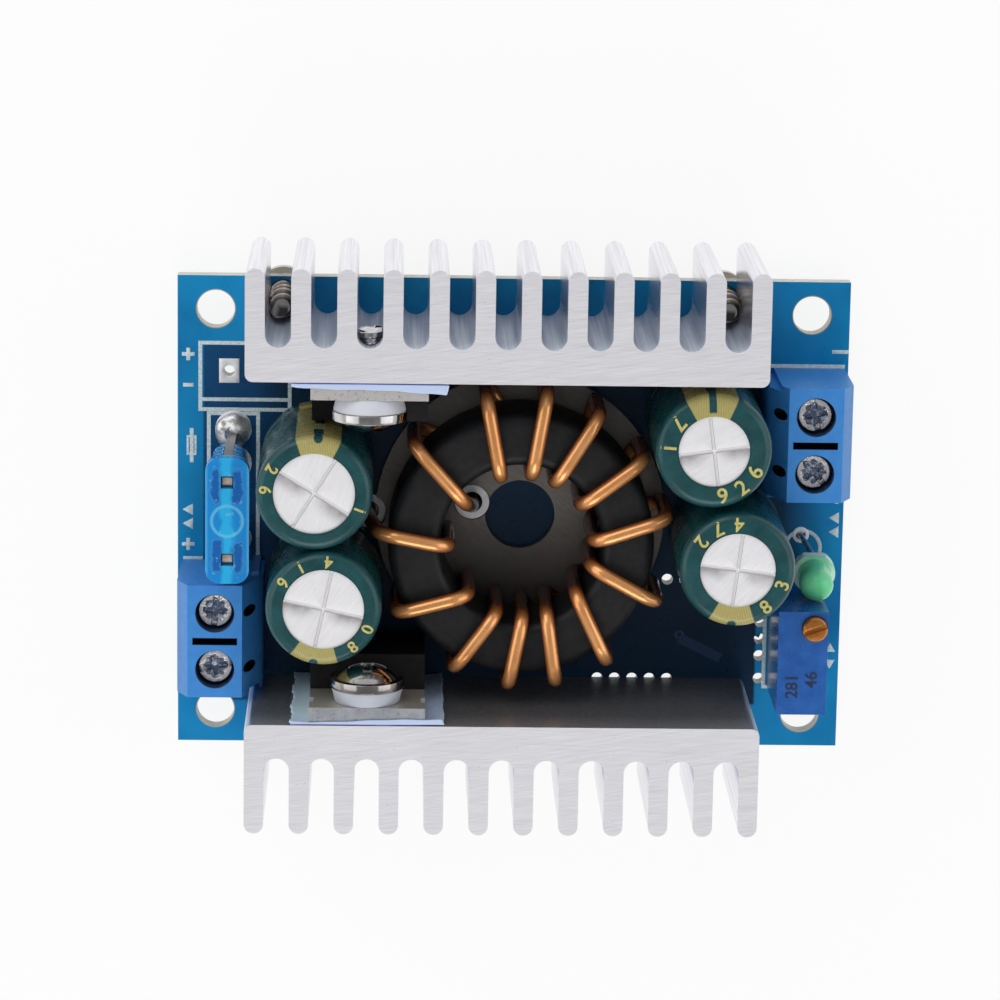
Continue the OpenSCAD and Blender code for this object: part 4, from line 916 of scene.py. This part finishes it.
def sleeve_finish(name, at, opening, band, wide, bar):
    """Teal film with its band: the angle round the can decides where the gold and its notch lie."""
    mat = finish(name, (28, 88, 90), 0.26, coat=0.1, specular=0.4)
    local = xyz(centre=(*at, 0), turn=-band)
    off = maths("ABSOLUTE", maths("DEGREES", maths("ARCTAN2", local[1], local[0])))
    flat = add("CombineXYZ", {0: local[0], 1: local[1]}).outputs[0]
    radius = length(flat)
    in_band = span(off, wide / 2 - 0.6, wide / 2 + 0.6, 1, 0)
    dash_near = span(off, 4.6, 5.4, 1, 0)
    dash_low = span(maths("FRACT", times(local[2], 0.21)), 0.46, 0.48, 1, 0)
    on_side = span(local[2], CAP_TOP - 1.3, CAP_TOP - 1.2, 1, 0)
    dash = times(on_side, dash_low, dash_near)
    if bar:
        near = maths("ABSOLUTE", local[1])
        beyond = span(radius, opening + 0.25, opening + 0.4)
        slit = times(span(near, 0.3, 0.36, 1, 0), beyond)
        mark = times(slit, unless(on_side))
    else:
        away = add("VectorMath", {0: flat, 1: (4.85, 0, 0)}, operation="DISTANCE").outputs["Value"]
        mark = times(span(away, 0.36, 0.42, 1, 0), unless(on_side))
    blank = maths("MAXIMUM", dash, mark)
    gold = times(in_band, unless(blank))
    film = mottle((0.5, 3), (16, 62, 66), (27, 79, 82))
    film = mix(span(radius, opening + 0.05, opening + 0.14, 0.5, 0), film, (10, 40, 44))
    along = where(centre=(*at, 0), turn=-band)
    hatch = add("TexWave", {"Vector": along, "Scale": 2.2, "Distortion": 1.5}, bands_direction="Y")
    hatch = hatch.outputs["Fac"]
    gold_tone = mix(span(hatch, 0.2, 0.8), (152, 142, 82), (184, 174, 112))
    tint(mix(gold, film, gold_tone))
    gloss((0.9, 4), 0.2, 0.34)
    pits((0.3, 2), 0.05, 0.25)
    return mat


def figure(text, at, radius, angle, height, target):
    """A printed figure laid on the top of a sleeve, its foot towards the outside."""
    clear_selection()
    bpy.ops.object.text_add()
    mark = bpy.context.object
    mark.data.body = text
    mark.data.size = height * MM
    mark.data.align_x = "CENTER"
    mark.data.align_y = "CENTER"
    mark.data.resolution_u = 6
    mark.data.offset = 0.03 * MM
    bpy.ops.object.convert(target="MESH")
    mark = bpy.context.object
    a = math.radians(angle)
    foot = Vector((at[0] + radius * math.cos(a), at[1] + radius * math.sin(a), CAP_TOP + 1))
    mark.location = foot * MM
    mark.rotation_euler = (0, 0, a + math.pi / 2)
    bpy.ops.object.transform_apply(location=True, rotation=True, scale=True)
    edit_all()
    bpy.ops.mesh.quads_convert_to_tris()
    bpy.ops.mesh.subdivide(number_cuts=3)
    enter("OBJECT")
    work(mark, "SHRINKWRAP", target=target, wrap_method="PROJECT", use_project_z=True,
         use_negative_direction=True, use_positive_direction=False, offset=0.012 * MM)
    return mark


for name, cap in CAPS.items():
    print_plan = [cap[key] for key in ("at", "opening", "band", "wide", "bar")]
    film = sleeve_finish(f"{name}_sleeve_film", *print_plan)
    sleeve = clad(f"{name}_sleeve", f"{name}_shrunk_sleeve", film, "shrink_sleeve", angle=45)
    metal = can_finish(f"{name}_can_metal", cap["at"], cap["score"])
    clad(f"{name}_can", f"{name}_scored_can", metal, "can_aluminium", 0.03, 2)
    ring_r = (cap["opening"] + SHOULDER_R) / 2
    tall = SHOULDER_R - cap["opening"]
    figures = [figure(t, cap["at"], ring_r, a, tall, sleeve) for a, t in cap["figures"]]
    fit(join(figures, f"{name}_figures"), gold_ink, "shrink_sleeve")
    dress(f"{name}_seal", rubber)
    dress(f"{name}_leads", tin)

# Terminals
# Two-way rising clamp terminals moulded in blue nylon, with plated screws in round wells. Each screw draws
# a steel cage up against a tinned bar.
TERMINALS = {"input": (-26.25, -9.6), "output": (26.25, 8.55)}
TEST_HOLE_X = 23.25
POLE_STEP = 2.54


def plan_radius(x, y):
    return length(add("CombineXYZ", {0: x, 1: y}).outputs[0])


def nylon_finish(name, at):
    """Satin blue nylon. The wells, test holes and divider are painted dark inside, as painted shade."""
    mat = finish(name, (48, 122, 200), 0.42, specular=0.4)
    side = 1 if at[0] > 0 else -1
    local = xyz(centre=(*at, 0))
    across = maths("ABSOLUTE", local[0])
    along = maths("ABSOLUTE", local[1])
    pole = maths("SUBTRACT", along, POLE_STEP)
    well = plan_radius(across, pole)
    to_hole = maths("SUBTRACT", local[0], side * (TEST_HOLE_X - abs(at[0])))
    hole = plan_radius(to_hole, pole)
    # Painted shade: the divider slit, the test holes and the wells are painted near black.
    slit = times(span(along, 0.31, 0.33, 1, 0), span(across, 1.96, 1.99, 1, 0))
    dark = maths("MAXIMUM", slit, span(hole, 0.47, 0.52, 1, 0))
    dark = maths("MAXIMUM", dark, span(well, 1.71, 1.74, 0.85, 0))
    satin = mottle((1.1, 4), (53, 130, 206), (61, 138, 212))
    tint(mix(dark, satin, (6, 14, 30)))
    gloss((7, 3), 0.34, 0.52)
    pits((20, 2), 0.008, 0.5)
    return mat


def pole_screw_finish(name, at):
    """Bright zinc plate: the driver's recess is painted dark inside a lobed, battered rim, as painted shade
    with painted glints.
    """
    mat = finish(name, (222, 222, 226), 0.24, metallic=0.7)
    local = xyz(centre=(*at, 0))
    radius = plan_radius(local[0], local[1])
    lobes = maths("COSINE", times(maths("ARCTAN2", local[1], local[0]), 8.0))
    battered = grain(1.1, 3, 0.65)
    edge = maths("MULTIPLY_ADD", lobes, -0.1, radius)
    edge = maths("ADD", edge, span(battered, 0.3, 0.7, -0.14, 0.14))
    deep = span(edge, 0.88, 1.02, 1, 0)
    # Painted shade and glints: the recess is dark grey-blue with bright glints.
    recess_painted_shade_and_glints = mottle((2.2, 3, 0.7), (108, 122, 148), (206, 216, 232), 0.52, 0.62)
    tint(mix(deep, (240, 240, 244), recess_painted_shade_and_glints))
    paint("Roughness", span(battered, 0.3, 0.7, 0.16, 0.34))
    dent(maths("MULTIPLY_ADD", deep, -1.0, battered), 0.22, 0.7)
    return mat


for end in ("input", "output"):
    blue_nylon = nylon_finish(f"{end}_terminal_nylon", TERMINALS[end])
    clad(f"{end}_terminal_housing", f"{end}_terminal_moulding", blue_nylon, "terminal_nylon", 0.12, 2)
    dress(f"{end}_terminal_pins", tin)
    for k in (1, 2):
        low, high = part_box(f"{end}_screw_{k}")
        axis = tuple((a + b) / 2 / MM for a, b in zip(low.xy, high.xy))
        plating = pole_screw_finish(f"{end}_screw_plating_{k}", axis)
        clad(f"{end}_screw_{k}", f"{end}_terminal_screw_{k}", plating, "plated_steel", 0.07, 2,
             body=f"{end}_pole_screw_{k}")
        dress(f"{end}_clamp_{k}", steel)

# Trimmer
# A multi-turn trimmer: a moulded blue case with a slotted brass adjusting screw in its top and three pins.
# It stands on the board on its feet, and the pins are soldered below.
case_blue = mottled("trimmer_case", (30, 84, 170), 0.36, (0.7, 4), (25, 82, 158), (39, 99, 177),
                    shine=((5, 3), 0.16, 0.3), grit=((16, 2), 0.006, 0.4))
brass = mottled("turned_brass", (204, 134, 66), 0.3, (1, 2), (196, 124, 58), (214, 146, 78),
                shine=((6, 4), 0.24, 0.36), grit=((10, 3), 0.003, 0.4), metallic=0.8)
case = clad("trimmer_body", "trimmer_case", case_blue, "trimmer_case", 0.14, 3)
clad("trimmer_screw", "trimmer_adjusting_screw", brass, "brass", 0.06, 2, body="trimmer_adjuster")
dress("trimmer_pins", tin)
print_ink = mottled("dark_print", (20, 30, 62), 0.5, (6, 4), (16, 24, 54), (30, 48, 92))
prints = [figure(t, (x, y), 0, 0, 1.5, case) for t, x, y in (("281", 24.85, -13.2), ("46", 26.55, -12.6))]
fit(join(prints, "trimmer_print"), print_ink, "trimmer_case")

# LED
# A three millimetre lamp cast in milky green epoxy, a little out of upright on its two tinned leads.
# The leads go through the board and are soldered below.
epoxy = finish("green_epoxy", (100, 216, 150), 0.16)
high = xyz()[2]
flange_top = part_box("led_lens")[0].z / MM + 1.2
cast = mottle((0.6, 3), (92, 210, 142), (128, 230, 172))
# The flange is paler than the dome, and painted lighter still as painted light.
pale_flange_and_painted_light = span(high, flange_top, flange_top + 0.5, 1, 0)
tint(mix(pale_flange_and_painted_light, cast, (226, 248, 238)))
translucent(0.5, (0.4, 0.9, 0.6))
pits((3, 2), 0.01, 0.2)
clad("led_lens", "led_cast_lens", epoxy, "led_epoxy", 0.08, 2)
dress("led_leads", tin)

# Fuse
# A blade fuse soldered to the board: a thin zinc element, plated, inside a clear blue moulding with an
# opening over each blade for a test probe.
FUSE = (-25.1, 1.74)
PROBE_AT = (FUSE[1] - 3.45, FUSE[1] + 3.45)
BLADE_TOP = 12.5
PROBE_RISE = 0.62
shell = finish("clear_blue_plastic", (30, 150, 232), 0.14, coat=0.2)
local = xyz(centre=(*FUSE, 0))
blur = span(grain(0.8, 3, 0.6), 0.25, 0.75, -0.3, 0.3)
off_x = maths("ADD", maths("ABSOLUTE", local[0]), blur)
off_y = maths("ADD", maths("ABSOLUTE", local[1]), blur)
boss = plan_radius(local[0], local[1])
tone = mix(span(off_x, 0.3, 0.7), (46, 192, 250), (24, 150, 228))
# Painted shade: the hollows inside the moulding are painted as darker blue patches.
hollows_painted_shade = times(span(off_x, 0.36, 0.72), span(off_x, 1.15, 1.6, 1, 0),
             span(off_y, 1.5, 1.9), span(off_y, 4.4, 4.9, 1, 0))
tone = mix(times(hollows_painted_shade, 0.85), tone, (16, 96, 182))
# Painted light: a pale edge round each hollow.
painted_light_hollow_edges = times(hollows_painted_shade, unless(hollows_painted_shade))
tone = mix(span(painted_light_hollow_edges, 0.1, 0.25, 0, 0.3), tone, (90, 184, 236))
# Painted glints: small pale specks.
painted_glints = span(grain(1.9, 2), 0.66, 0.72)
tone = mix(times(painted_glints, 0.4), tone, (150, 220, 248))
# Painted highlight: a pale ring round the boss in the middle of the top.
rim = times(span(boss, 1.15, 1.3), span(boss, 1.4, 1.55, 1, 0))
tone = mix(times(rim, 0.7), tone, (120, 216, 250))
# Painted light: the outer sides are painted paler.
side_x = maths("ABSOLUTE", local[0])
tone = mix(span(side_x, 1.62, 1.86), tone, (84, 190, 246))
tint(tone)
translucent(0.3, (0.2, 0.6, 1.2))
shader().inputs["Transmission Weight"].default_value = 0.15
shader().inputs["IOR"].default_value = 1.45
dent(maths("MULTIPLY_ADD", rim, 0.6, grain(1.2, 3)), 0.05, 0.4)
zinc = finish("plated_zinc", (214, 194, 172), 0.36, metallic=0.55)
plated = mottle((1.5, 4), (206, 180, 158), (228, 210, 194))
bared = span(xyz()[2], BLADE_TOP + 0.05, BLADE_TOP + 0.1)
tint(mix(bared, (150, 150, 152), plated))
gloss((5, 3), 0.28, 0.46)
pits((8, 3), 0.008, 0.4)
clad("fuse_housing", "fuse_clear_moulding", shell, "fuse_plastic", 0.1, 3)
dress("fuse_element", zinc)
lands = [bar((FUSE[0] - 0.1, y), (FUSE[0] + 0.1, y), 0.72, BLADE_TOP, PROBE_RISE) for y in PROBE_AT]
fit(soften(join(lands, "fuse_probe_lands"), 0.06, 2), zinc, "fuse_metal")

# Solder
# Cones of solder where each lead comes out below, and the large bright blob on the fuse's rear land on top.
# It is tin alloy, bright where it cooled fast and frosty elsewhere.
DOME = (-25.0, 7.75)
DOME_HALF = (1.62, 1.3)
DOME_RISE = 0.95
clad("solder_joints", "solder_fillets", tin, "solder", 0.18, 3)
flow_tin = mottled("bright_solder", (226, 224, 222), 0.2, (1.2, 4, 0.6), (212, 209, 206), (244, 244, 244),
                   0.35, 0.65, shine=((1.2, 4, 0.6), 0.14, 0.4), grit=((0.9, 3), 0.2, 0.6), metallic=0.7)
clear_selection()
bpy.ops.mesh.primitive_uv_sphere_add(segments=48, ring_count=24, radius=1)
dome = bpy.context.object
for vertex in dome.data.vertices:
    x, y, z = vertex.co
    swell = 1 + 0.05 * math.sin(3 * x + 1) + 0.04 * math.cos(4 * y)
    ripple = 1 + 0.12 * math.sin(5 * x + 2 * y) + 0.08 * math.cos(7 * y + 1)
    height = DOME_RISE * max(0, z) ** 0.6 * ripple
    x, y = DOME[0] + DOME_HALF[0] * x * swell, DOME[1] + DOME_HALF[1] * y * swell
    vertex.co = Vector((x, y, BOARD_TOP + height)) * MM
edit_all()
bpy.ops.mesh.remove_doubles(threshold=0.004 * MM)
bpy.ops.mesh.dissolve_degenerate(threshold=0.004 * MM)
bpy.ops.mesh.normals_make_consistent(inside=False)
enter("OBJECT")
smooth(60)
fit(join([dome], "fuse_solder_dome"), flow_tin, "solder")

# Underside parts
# The controller chip with its gull-wing legs, and rows of chip resistors and capacitors with tinned ends.
# All are soldered flat to the board's lower face.
fired = mottled("fired_chip", (52, 46, 42), 0.5, (3, 3), (40, 36, 33), (70, 62, 56),
                grit=((14, 2), 0.006, 0.4))
clad("control_chip_body", "control_chip_moulding", moulding, "moulded_black", 0.06, 2)
dress("control_chip_legs", tin)
dress("chip_parts", fired)
dress("chip_part_ends", tin)

# Studio
# A pale floor under the screw heads, clear from below, a white surround, and soft lamps on all four sides
# with the space above left dim. The camera is above the module and leans a little towards its rear edge.
FLOOR_Z = -1.9
clear_selection()
bpy.ops.mesh.primitive_plane_add(size=2.4, location=(0, 0, FLOOR_Z * MM))
floor = bpy.context.object
floor.name = "studio_floor"
bpy.ops.object.transform_apply(location=True, rotation=True, scale=True)
host = paper = bpy.data.materials.new("floor_paper")
paper.use_nodes = True
tree = paper.node_tree
tree.nodes.clear()
out = tree.nodes.new("ShaderNodeOutputMaterial")
matt = add("BsdfDiffuse", {"Color": (0.9, 0.9, 0.9, 1)})
glow = add("Emission", {"Color": (1, 1, 1, 1), "Strength": 1.0})
ray = add("LightPath", {})
seen = maths("MAXIMUM", ray.outputs["Is Camera Ray"], ray.outputs["Is Glossy Ray"])
seen = maths("MAXIMUM", seen, ray.outputs["Is Transmission Ray"])
share = times(seen, 0.88)
blend = add("MixShader", {0: share, 1: matt.outputs[0], 2: glow.outputs[0]})
below = add("NewGeometry", {}).outputs["Backfacing"]
clear = add("BsdfTransparent", {})
one_sided = add("MixShader", {0: below, 1: blend.outputs[0], 2: clear.outputs[0]})
tree.links.new(one_sided.outputs[0], out.inputs["Surface"])
floor.data.materials.append(paper)

host = world = bpy.data.worlds.new("white_surround")
bpy.context.scene.world = world
world.use_nodes = True
path_info = add("LightPath", {}).outputs
first = maths("MAXIMUM", path_info["Is Camera Ray"], path_info["Is Transmission Ray"])
toward = add("TexCoord", {}).outputs["Generated"]
dim = span(add("SeparateXYZ", {0: toward}).outputs[2], 0, 1, 0.7, 0.22)
back = world.node_tree.nodes["Background"]
back.inputs["Color"].default_value = (1, 1, 1, 1)
world.node_tree.links.new(span(first, 0, 1, dim, 1), back.inputs["Strength"])


def lamp(name, at, size, power):
    light = bpy.data.lights.new(name, "AREA")
    light.shape = "SQUARE"
    light.size = size
    light.energy = power
    holder = put(name, light)
    holder.location = at
    holder.rotation_euler = (Vector((0, 0, 0)) - Vector(at)).to_track_quat("-Z", "Y").to_euler()
    return holder


SOFTBOXES = [
    ("front_softbox", (0.0, -0.5, 0.46), 0.4, 1.05),
    ("rear_softbox", (-0.3, 0.5, 0.38), 0.5, 1.05),
    ("left_softbox", (-0.52, 0.02, 0.38), 0.5, 0.72),
    ("right_softbox", (0.52, 0.02, 0.38), 0.5, 0.72),
]
FILLS = [("top_fill", (-0.04, 0.08, 0.7), 0.3, 0.35), ("front_fill", (-0.03, -0.33, 0.62), 0.3, 0.65)]
for plan in SOFTBOXES:
    lamp(*plan)
for plan in FILLS:
    lamp(*plan).visible_glossy = False

CAMERA_TURNS = (("Z", -0.583), ("Y", 1.517), ("X", 12.430))
CAMERA_SHIFT = (-1.010, 1.222, 375.26)
turn = Matrix.Identity(3)
for axis, angle in CAMERA_TURNS:
    turn = turn @ Matrix.Rotation(math.radians(angle), 3, axis)
eye = turn.transposed() @ Vector(CAMERA_SHIFT) + Vector((0, 0, BOARD_TOP))
camera_data = bpy.data.cameras.new("studio_camera")
camera_data.lens = 149.88
camera_data.sensor_width = 36
camera_data.clip_start = 0.01
camera = put("studio_camera", camera_data)
camera.matrix_world = Matrix.Translation(eye * MM) @ turn.transposed().to_4x4()
bpy.context.scene.camera = camera
